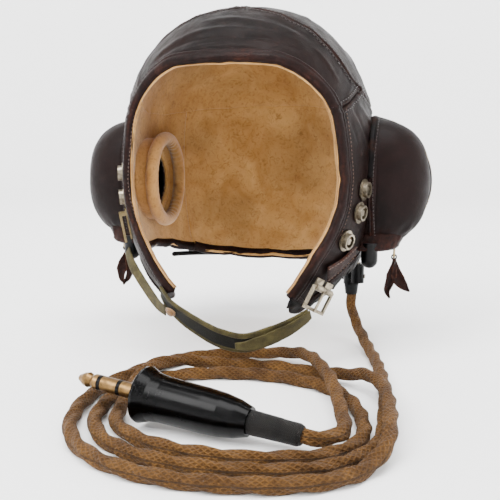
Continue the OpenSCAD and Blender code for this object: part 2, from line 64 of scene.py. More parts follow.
Z0 = -115.9
ZC = -107.4
CORD_ROUTE = [
    (73, 31, -87), (73.5, 29, -96), (77, 21, -105), (83, 6, -111.5),
    (90, -18, -115), (97, -46, Z0), (102, -74, Z0), (105.5, -100, Z0),
    (107, -124, Z0), (107.5, -144, Z0), (108, -163, Z0), (107, -181, Z0),
    (100, -198, Z0), (88, -212.5, Z0), (71, -221.5, Z0), (50, -226, Z0),
    (30, -227.5, Z0), (10, -225.5, Z0), (-10, -219, Z0), (-28, -207, Z0),
    (-40.5, -189.5, Z0), (-46.5, -168, Z0), (-46, -144, Z0), (-38, -122, Z0),
    (-23, -106, Z0), (-3, -97, Z0), (20, -93, Z0), (44, -95, Z0), (65, -103, Z0),
    (79, -114, Z0), (88, -128, Z0), (94, -144, Z0), (97.5, -161, Z0),
    (98.2, -177, Z0), (92.5, -192.5, Z0), (80.5, -204, Z0), (64, -210, Z0),
    (47, -213.5, Z0), (28, -214, Z0), (10, -211.5, Z0), (-6, -206, Z0),
    (-20, -197, Z0), (-31, -183.5, Z0), (-36, -166, Z0), (-37, -146, -111.5),
    (-37, -128, ZC), (-33, -110, ZC), (-23, -94, -109.5), (-7, -82, -114),
    (14, -75.5, Z0), (38, -75, Z0), (61, -81, Z0), (80, -90, -112.5),
    (95, -102, -108), (104, -118, ZC), (108.5, -138, ZC), (110.5, -158, ZC),
    (111.5, -177, ZC), (110.5, -195, -110.8), (102, -212, Z0), (89, -226, Z0),
    (70, -235, Z0), (48, -240, Z0), (26, -241.5, Z0), (4, -239, Z0),
    (-17, -231.5, Z0), (-36, -218, Z0), (-50, -199, Z0), (-58, -176, Z0),
    (-60.5, -152, Z0), (-58, -127, Z0), (-50, -103, Z0), (-37, -81, Z0),
    (-19, -62, Z0), (5, -51, Z0), (30, -52, -113.5), (47, -62, -109.5),
    (59, -78, ZC), (67, -95, ZC), (74, -113, ZC), (79.5, -131, -109),
    (83.6, -149, -110.5), (87, -164, -111.5), (89, -175, -111.8),
    (88.8, -181.5, -111.9), (86.5, -187, -111.8), (82.3, -191.4, -111.6),
    (76.6, -194.1, -111.2), (70.6, -194.3, -110.6)]
PLUG_TIP = np.array([-58.0, -169.5, -99.1])
PLUG_AXIS = np.array([0.97822, -0.18838, -0.08716])
PLUG_LENGTH = 103.5
FERRULE_LENGTH = 28
CORD_R = 4.0


def unit(v):
    v = np.asarray(v, float)
    return v / np.linalg.norm(v, axis=-1, keepdims=True)


def catmull(points, steps):
    """Smooth curve through the points, `steps` pieces to each gap."""
    p = np.array(points, float)
    q = np.vstack([2 * p[0] - p[1], p, 2 * p[-1] - p[-2]])
    t = np.arange(steps)[:, None] / steps
    out = []
    for a, b, c, d in zip(q, q[1:], q[2:], q[3:]):
        out.append(0.5 * (2 * b + (c - a) * t + (2 * a - 5 * b + 4 * c - d) * t ** 2
                          + (3 * b - a - 3 * c + d) * t ** 3))
    return np.vstack(out + [p[-1:]])


def arc(p):
    """Distance along a polyline at each of its points."""
    return np.concatenate([[0], np.cumsum(np.linalg.norm(np.diff(p, axis=0), axis=1))])


def xyz(x, y, z):
    """Points from three arrays or numbers that spread over one another."""
    return np.stack(np.broadcast_arrays(x, y, z), -1)


def resample(p, step=None, count=None):
    """The same polyline with points at even distances."""
    s = arc(p)
    n = count if count else max(2, int(round(s[-1] / step)) + 1)
    w = np.linspace(0, s[-1], n)
    return np.stack([np.interp(w, s, p[:, k]) for k in range(p.shape[1])], 1)


def lattice(i, seed):
    """A repeatable random number from 0 to 1 for each whole-number cell."""
    n = i[..., 0] * 73856093 ^ i[..., 1] * 19349663 ^ i[..., 2] * 83492791 ^ seed * 7919
    n = (n ^ (n >> 13)) & 0x7FFFFFFF
    n = (n * (n * n % 15731 + 789221) + 1376312589) & 0x7FFFFFFF
    return n / 0x7FFFFFFF


def value_noise(p, size, seed=0):
    """Smooth noise from -1 to 1 with blobs about `size` mm across."""
    q = np.asarray(p, float) / size
    i = np.floor(q).astype(np.int64)
    f = q - i
    f = f * f * (3 - 2 * f)
    total = 0
    for dx in (0, 1):
        for dy in (0, 1):
            for dz in (0, 1):
                w = (f[..., 0] if dx else 1 - f[..., 0])
                w = w * (f[..., 1] if dy else 1 - f[..., 1])
                w = w * (f[..., 2] if dz else 1 - f[..., 2])
                total = total + w * lattice(i + np.array([dx, dy, dz]), seed)
    return total * 2 - 1


def smoothstep(x, lo, hi):
    t = np.clip((x - lo) / (hi - lo), 0, 1)
    return t * t * (3 - 2 * t)


# ---------------------------------------------------------------- meshes
def build(name, pts, faces, material, uv=None, wear=None, body="helmet"):
    """A mesh piece from points in mm, riding on a body."""
    mesh = bpy.data.meshes.new(name)
    mesh.from_pydata((np.asarray(pts, float) * MM).tolist(), [], faces)
    bm = bmesh.new()
    bm.from_mesh(mesh)
    bmesh.ops.recalc_face_normals(bm, faces=bm.faces)
    bm.to_mesh(mesh)
    bm.free()
    if uv is not None:
        layer = mesh.uv_layers.new(name="run")
        index = np.zeros(len(mesh.loops), np.int32)
        mesh.loops.foreach_get("vertex_index", index)
        layer.data.foreach_set("uv", np.asarray(uv, np.float32)[index].ravel())
    attribute = mesh.attributes.new("wear", "FLOAT", "POINT")
    values = np.zeros(len(mesh.vertices)) if wear is None else np.asarray(wear)
    attribute.data.foreach_set("value", values.astype(np.float32))
    mesh.polygons.foreach_set("use_smooth", [True] * len(mesh.polygons))
    mesh.materials.append(material)
    piece = bpy.data.objects.new(name, mesh)
    scene.collection.objects.link(piece)
    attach(piece, body)
    return piece


EDGE_INSET = 0.12
EDGE_BULGE = 0.35


def slab(outer, inner, closed=False):
    """Points and quads of a closed sheet between two grids, with rounded edges."""
    m, n = outer.shape[:2]
    mid = (outer + inner) / 2
    grow = np.zeros_like(mid)
    grow[0] += mid[0] - mid[1]
    grow[-1] += mid[-1] - mid[-2]
    if not closed:
        grow[:, 0] += mid[:, 0] - mid[:, 1]
        grow[:, -1] += mid[:, -1] - mid[:, -2]
    size = np.linalg.norm(grow, axis=-1, keepdims=True)
    at_edge = size > 1e-9
    grow = grow / np.maximum(size, 1e-9) * at_edge
    thick = np.linalg.norm(outer - inner, axis=-1, keepdims=True)
    out2 = outer + (inner - outer) * EDGE_INSET * at_edge
    in2 = inner + (outer - inner) * EDGE_INSET * at_edge
    index = np.arange(m * n).reshape(m, n)
    if closed:
        loops = [[(0, k) for k in range(n)], [(m - 1, k) for k in range(n)][::-1]]
    else:
        loops = [[(0, k) for k in range(n)] + [(k, n - 1) for k in range(1, m)]
                 + [(m - 1, k) for k in range(n - 2, -1, -1)]
                 + [(k, 0) for k in range(m - 2, 0, -1)]]
    pts = [out2.reshape(-1, 3), in2.reshape(-1, 3)]
    size_all = m * n
    cols = n if closed else n - 1
    j, i = np.meshgrid(np.arange(m - 1), np.arange(cols), indexing="ij")
    i2 = (i + 1) % n
    a, b = index[j, i], index[j, i2]
    c, d = index[j + 1, i2], index[j + 1, i]
    top = np.stack([a, b, c, d], -1).reshape(-1, 4)
    faces = top.tolist() + (top[:, ::-1] + size_all).tolist()
    base = 2 * size_all
    for loop in loops:
        ids = [int(index[k]) for k in loop]
        edge = np.array([mid[k] + grow[k] * thick[k] * EDGE_BULGE for k in loop])
        pts.append(edge)
        count = len(loop)
        for k in range(count):
            k2 = (k + 1) % count
            faces.append([ids[k2], ids[k], base + k, base + k2])
            faces.append([size_all + ids[k], size_all + ids[k2], base + k2, base + k])
        base += count
    return np.vstack(pts), faces


def grid_values(values):
    """The same per-point values for both faces and the edge of an open slab."""
    m, n = values.shape[:2]
    flat = values.reshape(m * n, -1)
    rim = np.vstack([values[0].reshape(n, -1), values[1:, -1].reshape(m - 1, -1),
                     values[-1, :-1][::-1].reshape(n - 1, -1),
                     values[1:-1, 0][::-1].reshape(m - 2, -1)])
    every = np.vstack([flat, flat, rim])
    return every[:, 0] if values.ndim == 2 else every


def frames(p, first=None, last=None, up=None):
    """A steady pair of side directions along a line of points."""
    t = unit(np.gradient(p, axis=0))
    if first is not None:
        t[0] = unit(first)
    if last is not None:
        t[-1] = unit(last)
    if up is None:
        w = np.array([0, 0, 1.0]) if abs(t[0][2]) < 0.9 else np.array([1.0, 0, 0])
        u = []
        for k in range(len(p)):
            w = unit(w - t[k] * np.dot(w, t[k]))
            u.append(w)
        u = np.array(u)
    else:
        u = unit(up - t * np.sum(up * t, 1, keepdims=True))
    return u, np.cross(t, u)


def sweep(p, profile, u, v, scale=None):
    """Closed profile carried along a line, with capped ends; returns points, faces, uv."""
    count, sides = len(p), len(profile)
    profile = np.asarray(profile, float)
    k = np.ones(count) if scale is None else scale
    pts = (p[:, None] + u[:, None] * profile[None, :, :1] * k[:, None, None]
           + v[:, None] * profile[None, :, 1:] * k[:, None, None])
    s = arc(p)
    around = np.concatenate([[0], np.cumsum(np.linalg.norm(
        np.roll(profile, -1, 0) - profile, axis=1))])[:sides]
    uv = np.stack([np.tile(around, count), np.repeat(s, sides)], 1)
    return pts.reshape(-1, 3), tube_faces(count, sides), uv


def tube_faces(count, sides):
    """Quads and two end caps of a tube of `count` rings."""
    i, a = np.meshgrid(np.arange(count - 1), np.arange(sides), indexing="ij")
    b = (a + 1) % sides
    faces = np.stack([i * sides + a, i * sides + b, (i + 1) * sides + b,
                      (i + 1) * sides + a], -1).reshape(-1, 4).tolist()
    faces.append(list(range(sides - 1, -1, -1)))
    faces.append(list(range((count - 1) * sides, count * sides)))
    return faces


def merge(parts):
    """Joins (points, faces) lists into one."""
    pts, faces, base = [], [], 0
    for p, f in parts:
        pts.append(p)
        faces += [[base + k for k in face] for face in f]
        base += len(p)
    return np.vstack(pts), faces


# ---------------------------------------------------------------- materials
class Shader:
    """Short calls for building one procedural material."""

    def __init__(self, name, **sockets):
        self.mat = bpy.data.materials.new(name)
        self.mat.use_nodes = True
        self.tree = self.mat.node_tree
        self.bsdf = self.tree.nodes["Principled BSDF"]
        self.coord = self.tree.nodes.new("ShaderNodeTexCoord").outputs["Object"]
        for key, value in sockets.items():
            self.bsdf.inputs[key.replace("_", " ")].default_value = value

    def node(self, kind, **values):
        made = self.tree.nodes.new("ShaderNode" + kind)
        for key, value in values.items():
            setattr(made, key, value)
        return made

    def link(self, source, target):
        if isinstance(source, bpy.types.NodeSocket):
            self.tree.links.new(source, target)
        else:
            target.default_value = source

    def noise(self, scale, detail=3.0, rough=0.55, distort=0.0):
        made = self.node("TexNoise")
        for key, value in (("Scale", scale), ("Detail", detail), ("Roughness", rough),
                           ("Distortion", distort)):
            made.inputs[key].default_value = value
        self.tree.links.new(self.coord, made.inputs["Vector"])
        return made.outputs["Fac"]

    def cells(self, scale, feature="F1", coord=None):
        made = self.node("TexVoronoi", feature=feature)
        made.inputs["Scale"].default_value = scale
        self.tree.links.new(coord or self.coord, made.inputs["Vector"])
        return made.outputs["Distance"]

    def remap(self, source, lo, hi, to_lo=0.0, to_hi=1.0):
        made = self.node("MapRange")
        for k, value in enumerate((lo, hi, to_lo, to_hi)):
            made.inputs[k + 1].default_value = value
        self.tree.links.new(source, made.inputs[0])
        return made.outputs[0]

    def math(self, what, a, b=0.0):
        made = self.node("Math", operation=what)
        for k, value in enumerate((a, b)):
            self.link(value, made.inputs[k])
        return made.outputs[0]

    def mix(self, fac, a, b, blend="MIX"):
        made = self.node("Mix", data_type="RGBA", blend_type=blend)
        self.link(fac, made.inputs[0])
        self.link(a, made.inputs[6])
        self.link(b, made.inputs[7])
        return made.outputs[2]

    def attribute(self, name):
        return self.node("Attribute", attribute_name=name).outputs["Fac"]

    def wander(self, amount):
        """Coordinates pushed about by noise, so that cell edges wander."""
        made = self.node("TexNoise")
        made.inputs["Scale"].default_value = 160
        self.tree.links.new(self.coord, made.inputs["Vector"])
        scale = self.node("VectorMath", operation="SCALE")
        scale.inputs["Scale"].default_value = amount
        self.tree.links.new(made.outputs["Color"], scale.inputs[0])
        add = self.node("VectorMath", operation="ADD")
        self.tree.links.new(self.coord, add.inputs[0])
        self.tree.links.new(scale.outputs[0], add.inputs[1])
        return add.outputs[0]

    def run(self):
        """Distances across and along a strip, from the uv of its mesh."""
        split = self.node("SeparateXYZ")
        self.tree.links.new(self.node("UVMap", uv_map="run").outputs[0], split.inputs[0])
        return split.outputs[0], split.outputs[1]

    def wave(self, source, factor):
        return self.math("SINE", self.math("MULTIPLY", source, factor))

    def bump(self, layers):
        """Stacks (height, strength, distance in mm) into one normal."""
        normal = None
        for height, strength, distance in layers:
            made = self.node("Bump")
            made.inputs["Strength"].default_value = strength
            made.inputs["Distance"].default_value = distance * 0.001
            self.tree.links.new(height, made.inputs["Height"])
            if normal:
                self.tree.links.new(normal, made.inputs["Normal"])
            normal = made.outputs[0]
        self.tree.links.new(normal, self.bsdf.inputs["Normal"])

    def done(self, color, rough=None):
        self.link(color, self.bsdf.inputs["Base Color"])
        if rough is not None:
            self.link(rough, self.bsdf.inputs["Roughness"])
        return self.mat


def rgb(r, g, b):
    """A colour given as it looks on screen, 0 to 255."""
    return tuple((c / 255) ** 2.2 for c in (r, g, b)) + (1.0,)


def darker(color, share):
    return rgb(*[c * share for c in color])


def leather(name, dark, mid, light, worn, rough=(0.40, 0.62), grain=1.0, crackle=0.35):
    s = Shader(name, Specular_IOR_Level=0.07)
    big = s.noise(28, 4, 0.6, 0.6)
    small = s.noise(210, 5, 0.62)
    fine = s.noise(900, 3, 0.6)
    color = s.mix(s.remap(big, 0.35, 0.65), rgb(*dark), rgb(*mid))
    color = s.mix(s.remap(small, 0.52, 0.75, 0, 0.55), color, rgb(*light))
    wear = s.math("MULTIPLY", s.attribute("wear"), s.remap(s.noise(330, 5, 0.7), 0.38, 0.62))
    color = s.mix(wear, color, rgb(*worn))
    pores = s.cells(1050)
    line = s.remap(s.cells(240, "DISTANCE_TO_EDGE", s.wander(0.0035)), 0.0, 0.09)
    color = s.mix(s.remap(line, 0, 1, 0.35 * crackle, 0), color, darker(dark, 0.45))
    s.bump([(small, 0.35, 0.6), (line, 0.28 * crackle, 0.3), (pores, 0.32 * grain, 0.22),
            (fine, 0.16, 0.12)])
    gloss = s.remap(s.noise(75, 5, 0.65), 0.3, 0.7, *rough)
    return s.done(color, s.math("ADD", gloss, s.remap(wear, 0, 1, 0, 0.14)))


def suede(name, dark, mid, light):
    s = Shader(name, Sheen_Weight=0.35, Sheen_Roughness=0.5, Specular_IOR_Level=0.2)
    big = s.noise(32, 4, 0.6, 0.8)
    nap = s.noise(1500, 4, 0.7)
    streak = s.noise(240, 4, 0.6, 1.5)
    color = s.mix(s.remap(big, 0.35, 0.68), rgb(*mid), rgb(*light))
    color = s.mix(s.remap(streak, 0.5, 0.72, 0, 0.6), color, rgb(*dark))
    color = s.mix(s.math("MULTIPLY", s.attribute("wear"), 0.8), color, darker(dark, 0.55))
    s.bump([(streak, 0.3, 0.5), (nap, 0.45, 0.3)])
    return s.done(color, s.remap(nap, 0.3, 0.7, 0.78, 0.95))


def webbing(name, dark, light, across=1.1, along=0.8):
    s = Shader(name, Sheen_Weight=0.04, Specular_IOR_Level=0.15)
    x, y = s.run()
    weave = s.math("MULTIPLY", s.wave(x, TURN / across), s.wave(y, TURN / along))
    level = s.remap(weave, -1, 1)
    dirt = s.noise(120, 5, 0.65)
    color = s.mix(s.remap(dirt, 0.35, 0.7), rgb(*dark), rgb(*light))
    # painted shade: darker in the low places of the weave, between the threads
    color = s.mix(s.remap(level, 0, 1, 0.45, 0), color, darker(dark, 0.45))
    s.bump([(level, 0.7, 0.35), (s.noise(1700, 3), 0.25, 0.15)])
    return s.done(color, s.remap(dirt, 0.3, 0.7, 0.72, 0.9))


def braid(name):
    s = Shader(name, Sheen_Weight=0.03, Specular_IOR_Level=0.15)
    x, y = s.run()
    u = s.math("MULTIPLY", x, TURN * 9)
    v = s.math("MULTIPLY", y, TURN / 3.8)
    one = s.math("SINE", s.math("ADD", u, v))
    two = s.math("SINE", s.math("SUBTRACT", u, v))
    weave = s.remap(s.math("MAXIMUM", one, two), -0.3, 1)
    big = s.noise(45, 5, 0.65, 0.5)
    tufts = s.noise(420, 4, 0.7)
    color = s.mix(s.remap(big, 0.3, 0.7), rgb(58, 39, 19), rgb(100, 70, 35))
    color = s.mix(s.remap(tufts, 0.45, 0.75, 0, 0.55), color, rgb(42, 27, 13))
    # painted shade: the colour darkens in the low gaps between the braided threads
    color = s.mix(s.remap(weave, 0, 1, 0.5, 0), color, rgb(36, 22, 10))
    s.bump([(tufts, 0.45, 0.6), (weave, 0.9, 0.6), (s.noise(2600, 3), 0.3, 0.15)])
    return s.done(color, s.remap(tufts, 0.3, 0.7, 0.75, 0.92))


def metal(name, bright, dull, rough=(0.22, 0.5), scale=180):
    s = Shader(name, Metallic=1.0)
    tarnish = s.noise(scale, 6, 0.65, 0.4)
    scratch = s.noise(1400, 3, 0.6, 2.0)
    color = s.mix(s.remap(tarnish, 0.42, 0.68), rgb(*bright), rgb(*dull))
    s.bump([(tarnish, 0.12, 0.25), (scratch, 0.12, 0.08)])
    return s.done(color, s.remap(tarnish, 0.3, 0.7, *rough))


def moulded(name, base, haze, rough, coat):
    s = Shader(name, Coat_Weight=coat, Coat_Roughness=0.1, Specular_IOR_Level=0.09)
    dust = s.noise(60, 6, 0.7, 0.4)
    fine = s.noise(1100, 4, 0.65)
    color = s.mix(s.remap(dust, 0.45, 0.75, 0, 0.35), rgb(*base), rgb(*haze))
    s.bump([(s.noise(90, 3), 0.06, 0.5), (fine, 0.06, 0.1)])
    return s.done(color, s.remap(dust, 0.3, 0.7, *rough))


LEATHER_MAT = leather("leather_shell", (15, 10, 9), (26, 17, 15), (38, 27, 24), (52, 31, 24),
                      rough=(0.36, 0.56))
POD_MAT = leather("leather_pod", (18, 12, 11), (26, 17, 16), (35, 25, 23), (50, 29, 23),
                  rough=(0.38, 0.54), grain=0.7, crackle=0.12)
HEM_MAT = leather("leather_hem", (18, 12, 11), (28, 19, 18), (46, 32, 30), (64, 38, 29),
                  rough=(0.34, 0.54))
GREY_MAT = leather("leather_worn_strap", (34, 27, 26), (62, 52, 50), (100, 88, 84),
                   (60, 34, 24), rough=(0.5, 0.7), crackle=0.8)
TAB_MAT = leather("leather_pull", (18, 11, 10), (30, 18, 16), (46, 28, 24), (70, 42, 32),
                  rough=(0.4, 0.6))
BLACK_STRIP = leather("leather_binding", (9, 7, 7), (15, 12, 12), (27, 22, 21), (44, 28, 22))
SUEDE_MAT = suede("chamois", (112, 76, 38), (158, 114, 62), (190, 147, 89))
PAD_MAT = suede("chamois_pad", (116, 78, 40), (160, 114, 62), (190, 144, 88))
OLIVE_MAT = webbing("olive_webbing", (46, 41, 24), (84, 76, 46))
DARK_WEB = webbing("dark_webbing", (14, 13, 10), (27, 25, 19))
ELASTIC_MAT = webbing("olive_elastic", (52, 47, 30), (92, 83, 54), across=1.4, along=1.5)
BRAID_MAT = braid("cotton_braid")
NICKEL = metal("worn_nickel", (146, 136, 118), (76, 68, 57))
ZIP_METAL = metal("aged_brass", (176, 154, 112), (94, 80, 54), rough=(0.3, 0.55))
HOOK_METAL = metal("dull_brass", (136, 120, 88), (98, 86, 60), rough=(0.4, 0.6))
CONTACT = metal("contact_brass", (128, 100, 64), (72, 56, 36), rough=(0.28, 0.5), scale=120)
BAKELITE = moulded("black_moulding", (4, 4, 5), (9, 9, 10), rough=(0.18, 0.3), coat=0.02)
RUBBER = moulded("black_rubber", (8, 8, 9), (16, 16, 17), rough=(0.28, 0.42), coat=0.1)
INSULATOR = moulded("insulator", (10, 9, 9), (20, 19, 18), rough=(0.3, 0.5), coat=0.0)
LEAD_MAT = moulded("rubber_lead", (13, 12, 11), (26, 24, 22), rough=(0.4, 0.6), coat=0.0)
WHIPPING = webbing("tarred_whipping", (16, 15, 14), (34, 32, 30), across=1.6, along=1.0)
THREAD = suede("waxed_thread", (50, 32, 25), (74, 50, 38), (98, 72, 56))
DARK_THREAD = suede("dark_thread", (22, 15, 13), (32, 22, 20), (44, 32, 29))
TAN_THREAD = suede("tan_thread", (84, 60, 36), (118, 86, 54), (142, 110, 72))
TAPE_MAT = webbing("zip_tape", (12, 10, 9), (24, 20, 18), across=0.8, along=0.7)

# the free cord, all of it showing in the photo
route = resample(catmull(CORD_ROUTE, 6), step=1.15)
u, v = frames(route, first=(0, 0, -1), last=-PLUG_AXIS)
s = arc(route)
SIDES = 28
STRAND_LAY = 21
PICKS = 5
turn = np.linspace(0, TURN, SIDES, endpoint=False)
ring = np.cos(turn)[None, :, None] * u[:, None] + np.sin(turn)[None, :, None] * v[:, None]
ss, aa = np.meshgrid(s, turn, indexing="ij")
loose = np.interp(ss, [0, 40, 900, s[-1]], [0.6, 1, 1, 0.8])
radius = CORD_R - 0.3 + 0.56 * loose * np.cos(3 * aa - TURN * ss / STRAND_LAY)
radius += 0.16 * value_noise(xyz(ss / 9, np.cos(aa) * 1.4, np.sin(aa) * 1.4), 1, 3)
radius += 0.07 * np.sin(7 * aa + TURN * ss / PICKS) * np.sin(7 * aa - TURN * ss / PICKS)
tube = route[:, None] + ring * radius[..., None]
cord_uv = np.stack([aa / TURN, ss], -1).reshape(-1, 2)
cord = build("cord_braid", tube.reshape(-1, 3), tube_faces(len(route), SIDES), BRAID_MAT,
             uv=cord_uv)
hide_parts("cord")

# whipped ferrule between the cord and the plug
along = np.linspace(0, FERRULE_LENGTH, 190)
line = PLUG_TIP + PLUG_AXIS * PLUG_LENGTH + PLUG_AXIS * along[:, None]
u, v = frames(line)
swell = np.interp(along, [0, 1.5, 26, 28], [6.0, 6.2, 5.5, 4.6])
aa, ll = np.meshgrid(turn, along)
radius = swell[:, None] + 0.13 * np.abs(np.sin(math.pi * (ll / 0.95 + aa / TURN)))
radius += 0.12 * value_noise(xyz(ll, 4 * np.cos(aa), 4 * np.sin(aa)), 3, 8)
tube = line[:, None] + radius[..., None] * (
    np.cos(aa)[..., None] * u[:, None] + np.sin(aa)[..., None] * v[:, None])
ferrule = build("whipped_ferrule", tube.reshape(-1, 3), tube_faces(len(line), SIDES), WHIPPING,
                uv=np.stack([aa * 6, ll], -1).reshape(-1, 2))
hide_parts("plug_ferrule")

# ---------------------------------------------------------------- floor and light
# round sweep, so that there is plain paper behind the helmet from every side
bm = bmesh.new()
profile = [(0.6, 0.0), (1.4, 0.0)]
profile += [(1.4 + 0.7 * math.sin(k * math.pi / 24), 0.7 - 0.7 * math.cos(k * math.pi / 24))
            for k in range(1, 13)] + [(2.1, 3.2)]
rows = [[bm.verts.new((r * math.cos(k * math.pi / 48), r * math.sin(k * math.pi / 48),
                       TABLE * MM + z)) for k in range(96)] for r, z in profile]
bm.faces.new(rows[0])
for a, b in zip(rows, rows[1:]):
    for k in range(96):
        bm.faces.new((a[k], a[(k + 1) % 96], b[(k + 1) % 96], b[k]))
bmesh.ops.recalc_face_normals(bm, faces=bm.faces)
mesh = bpy.data.meshes.new("floor")
bm.to_mesh(mesh)
bm.free()
mesh.polygons.foreach_set("use_smooth", [True] * len(mesh.polygons))
floor = bpy.data.objects.new("floor", mesh)
scene.collection.objects.link(floor)
paper = Shader("paper", Roughness=0.7, Specular_IOR_Level=0.2)
tone = paper.mix(paper.remap(paper.noise(3, 2), 0.3, 0.7), rgb(249, 249, 249), rgb(251, 251, 251))
mesh.materials.append(paper.done(tone))

world = bpy.data.worlds.new("studio")
world.use_nodes = True
world.node_tree.nodes["Background"].inputs[0].default_value = (1.0, 0.99, 0.97, 1.0)
world.node_tree.nodes["Background"].inputs[1].default_value = 0.4
scene.world = world


def softbox(name, at, target, size, power):
    data = bpy.data.lights.new(name, "AREA")
    data.shape = "RECTANGLE"
    data.size, data.size_y = size
    data.energy = power
    light = bpy.data.objects.new(name, data)
    scene.collection.objects.link(light)
    light.location = at
    aim = Vector(target) - Vector(at)
    light.rotation_euler = aim.to_track_quat("-Z", "Y").to_euler()


softbox("key", (-0.75, -1.05, 1.15), (0, 0, 0), (0.9, 0.9), 38)
softbox("top", (0.1, -0.45, 1.6), (0, -0.1, 0), (1.4, 1.0), 54)
softbox("fill", (1.25, -0.7, 0.35), (0, 0, -0.02), (0.8, 1.2), 7)
softbox("wall", (0.1, 0.62, 1.25), (0.1, 1.7, 0.35), (3.2, 0.7), 38)

# ---------------------------------------------------------------- the shell surface
FACE_EDGE = [(0, 39), (13, 39), (24, 38.5), (32, 36), (39, 32), (45, 27), (48, 22), (49, 17),
             (50, 10), (50.5, 4), (52, -3), (51, -13), (47, -22), (40, -32), (37, -38), (32, -47)]
BROW_SEAM = [(0, 71), (19, 69), (31, 65), (40, 60), (49, 56), (54, 50), (58, 46), (61, 41),
             (65, 36), (72, 32)]
TEMPLE_SEAM = [(48, 22), (58, 26), (72, 32)]
SIDE_SEAM = [(72, 32), (81, 29), (95, 26), (112, 25), (130, 26)]
EAR_BOTTOM = [(32, -47), (40, -52), (48, -52.5), (57, -45), (70, -39.5), (84, -38), (96, -38),
              (112, -39), (130, -41)]
EAR_REAR = [(130, -41), (130, -20), (130, 0), (130, 26)]
CROWN_MID = [(0, 71), (0, 82), (180, 86), (180, 72), (180, 58), (180, 42), (180, 27)]
REAR_SEAM = [(180, 27), (155, 26.5), (130, 26)]
NECK_BOTTOM = [(130, -41), (155, -43), (180, -43.5)]


def mirrored(p):
    return [(-a, b) for a, b in p]


def flip(p, side):
    return p if side > 0 else mirrored(p)


def round_back(p):
    return [(360 - a, b) for a, b in p][::-1]


# whole edges across the middle of the helmet
FACE = mirrored(FACE_EDGE)[::-1] + FACE_EDGE[1:]
BROW_LOW = mirrored(FACE_EDGE[:7])[::-1] + FACE_EDGE[1:7]
NECK_LOW = NECK_BOTTOM + round_back(NECK_BOTTOM)[1:]
NECK_TOP = REAR_SEAM[::-1] + round_back(REAR_SEAM[::-1])[1:]
FAR_REAR = round_back(EAR_REAR)[::-1]
EAR_TOP = TEMPLE_SEAM + SIDE_SEAM[1:]


def direction(p):
    p = np.radians(np.asarray(p, float))
    c = np.cos(p[..., 1])
    return np.stack([np.sin(p[..., 0]) * c, -np.cos(p[..., 0]) * c, np.sin(p[..., 1])], -1)


def surf(d, o=0.0):
    """Point of the head shell in direction d, pushed out by o mm."""
    d = unit(d)
    b = np.where(d[..., 1] < 0, SHELL["front"], SHELL["rear"])
    c = np.where(d[..., 2] > 0, SHELL["up"], SHELL["down"])
    nh, nv = SHELL["nh"], SHELL["nv"]
    flat = (np.abs(d[..., 0]) / (SHELL["a"] + o)) ** nh + (np.abs(d[..., 1]) / (b + o)) ** nh
    k = (flat ** (nv / nh) + (np.abs(d[..., 2]) / (c + o)) ** nv) ** (-1 / nv)
    return d * k[..., None] + SHELL_MID


def side_x(y, z, o=0.0):
    """How far the shell reaches sideways at a given depth and height."""
    b = (SHELL["front"] if y < 0 else SHELL["rear"]) + o
    c = (SHELL["up"] if z > SHELL["z"] else SHELL["down"]) + o
    nh, nv = SHELL["nh"], SHELL["nv"]
    k = max(0, 1 - (abs(z - SHELL["z"]) / c) ** nv) ** (nh / nv)
    return (SHELL["a"] + o) * max(0, k - (abs(y) / b) ** nh) ** (1 / nh)


def surf_normal(d):
    """Outward normal of the head shell in direction d."""
    d = unit(d)
    ref = np.where(np.abs(d[..., 2:]) < 0.9, np.array([0, 0, 1.0]), np.array([1.0, 0, 0]))
    a = unit(np.cross(d, ref))
    b = np.cross(d, a)
    e = 0.01
    n = np.cross(surf(d + a * e) - surf(d - a * e), surf(d + b * e) - surf(d - b * e))
    n = unit(n)
    return n * np.sign(np.sum(n * d, -1, keepdims=True))


def spread(p, n):
    """n+1 directions at even distances along a curve of [azimuth, elevation]."""
    return resample(direction(p), count=n + 1)


def spread_between(low, top, f):
    """The direction curve a share f of the way from one curve to another."""
    return unit(spread(low, 60) * (1 - f) + spread(top, 60) * f)


def fill(c0, c1, d0, d1):
    """Directions between four edges; rows run from c0 to c1."""
    n, m = len(c0), len(d0)
    u = np.linspace(0, 1, n)[None, :, None]
    v = np.linspace(0, 1, m)[:, None, None]
    return (c0[None] * (1 - v) + c1[None] * v + d0[:, None] * (1 - u) + d1[:, None] * u
            - c0[0] * (1 - u) * (1 - v) - c0[-1] * u * (1 - v)
            - c1[0] * (1 - u) * v - c1[-1] * u * v)


def shell_grid(edges, counts):
    """Directions between four curves of [azimuth, elevation]: low, high, first, last."""
    low, high, first, last = edges
    n, m = counts
    return fill(spread(low, n), spread(high, n), spread(first, m), spread(last, m))


def on_shell(p, step=1.0):
    """Evenly spaced points of a curve of [azimuth, elevation] on the shell."""
    rough = surf(resample(direction(p), count=200))
    return resample(rough, step=step)


def distance(points, line):
    """Shortest distance from each point to a line of close points, and where along it."""
    flat = points.reshape(-1, 3)
    best = np.empty(len(flat))
    place = np.empty(len(flat))
    line = np.asarray(line, float)
    sq = np.sum(line ** 2, 1)
    for k in range(0, len(flat), 6000):
        part = flat[k:k + 6000]
        d2 = np.sum(part ** 2, 1)[:, None] + sq[None] - 2 * part @ line.T
        at = np.argmin(d2, 1)
        best[k:k + 6000] = np.sqrt(np.maximum(d2[np.arange(len(part)), at], 0))
        place[k:k + 6000] = at / max(1, len(line) - 1)
    return best.reshape(points.shape[:-1]), place.reshape(points.shape[:-1])


SEAMS = [(BROW_SEAM, 1.0), (mirrored(BROW_SEAM), 1.0), (TEMPLE_SEAM, 0.9),
         (mirrored(TEMPLE_SEAM), 0.9), (SIDE_SEAM, 1.1), (mirrored(SIDE_SEAM), 1.1),
         (CROWN_MID, 0.9), (REAR_SEAM, 1.0), (round_back(REAR_SEAM), 1.0),
         (EAR_REAR, 0.9), (FAR_REAR, 0.9)]
SEAM_LINES = [(on_shell(p), k) for p, k in SEAMS]
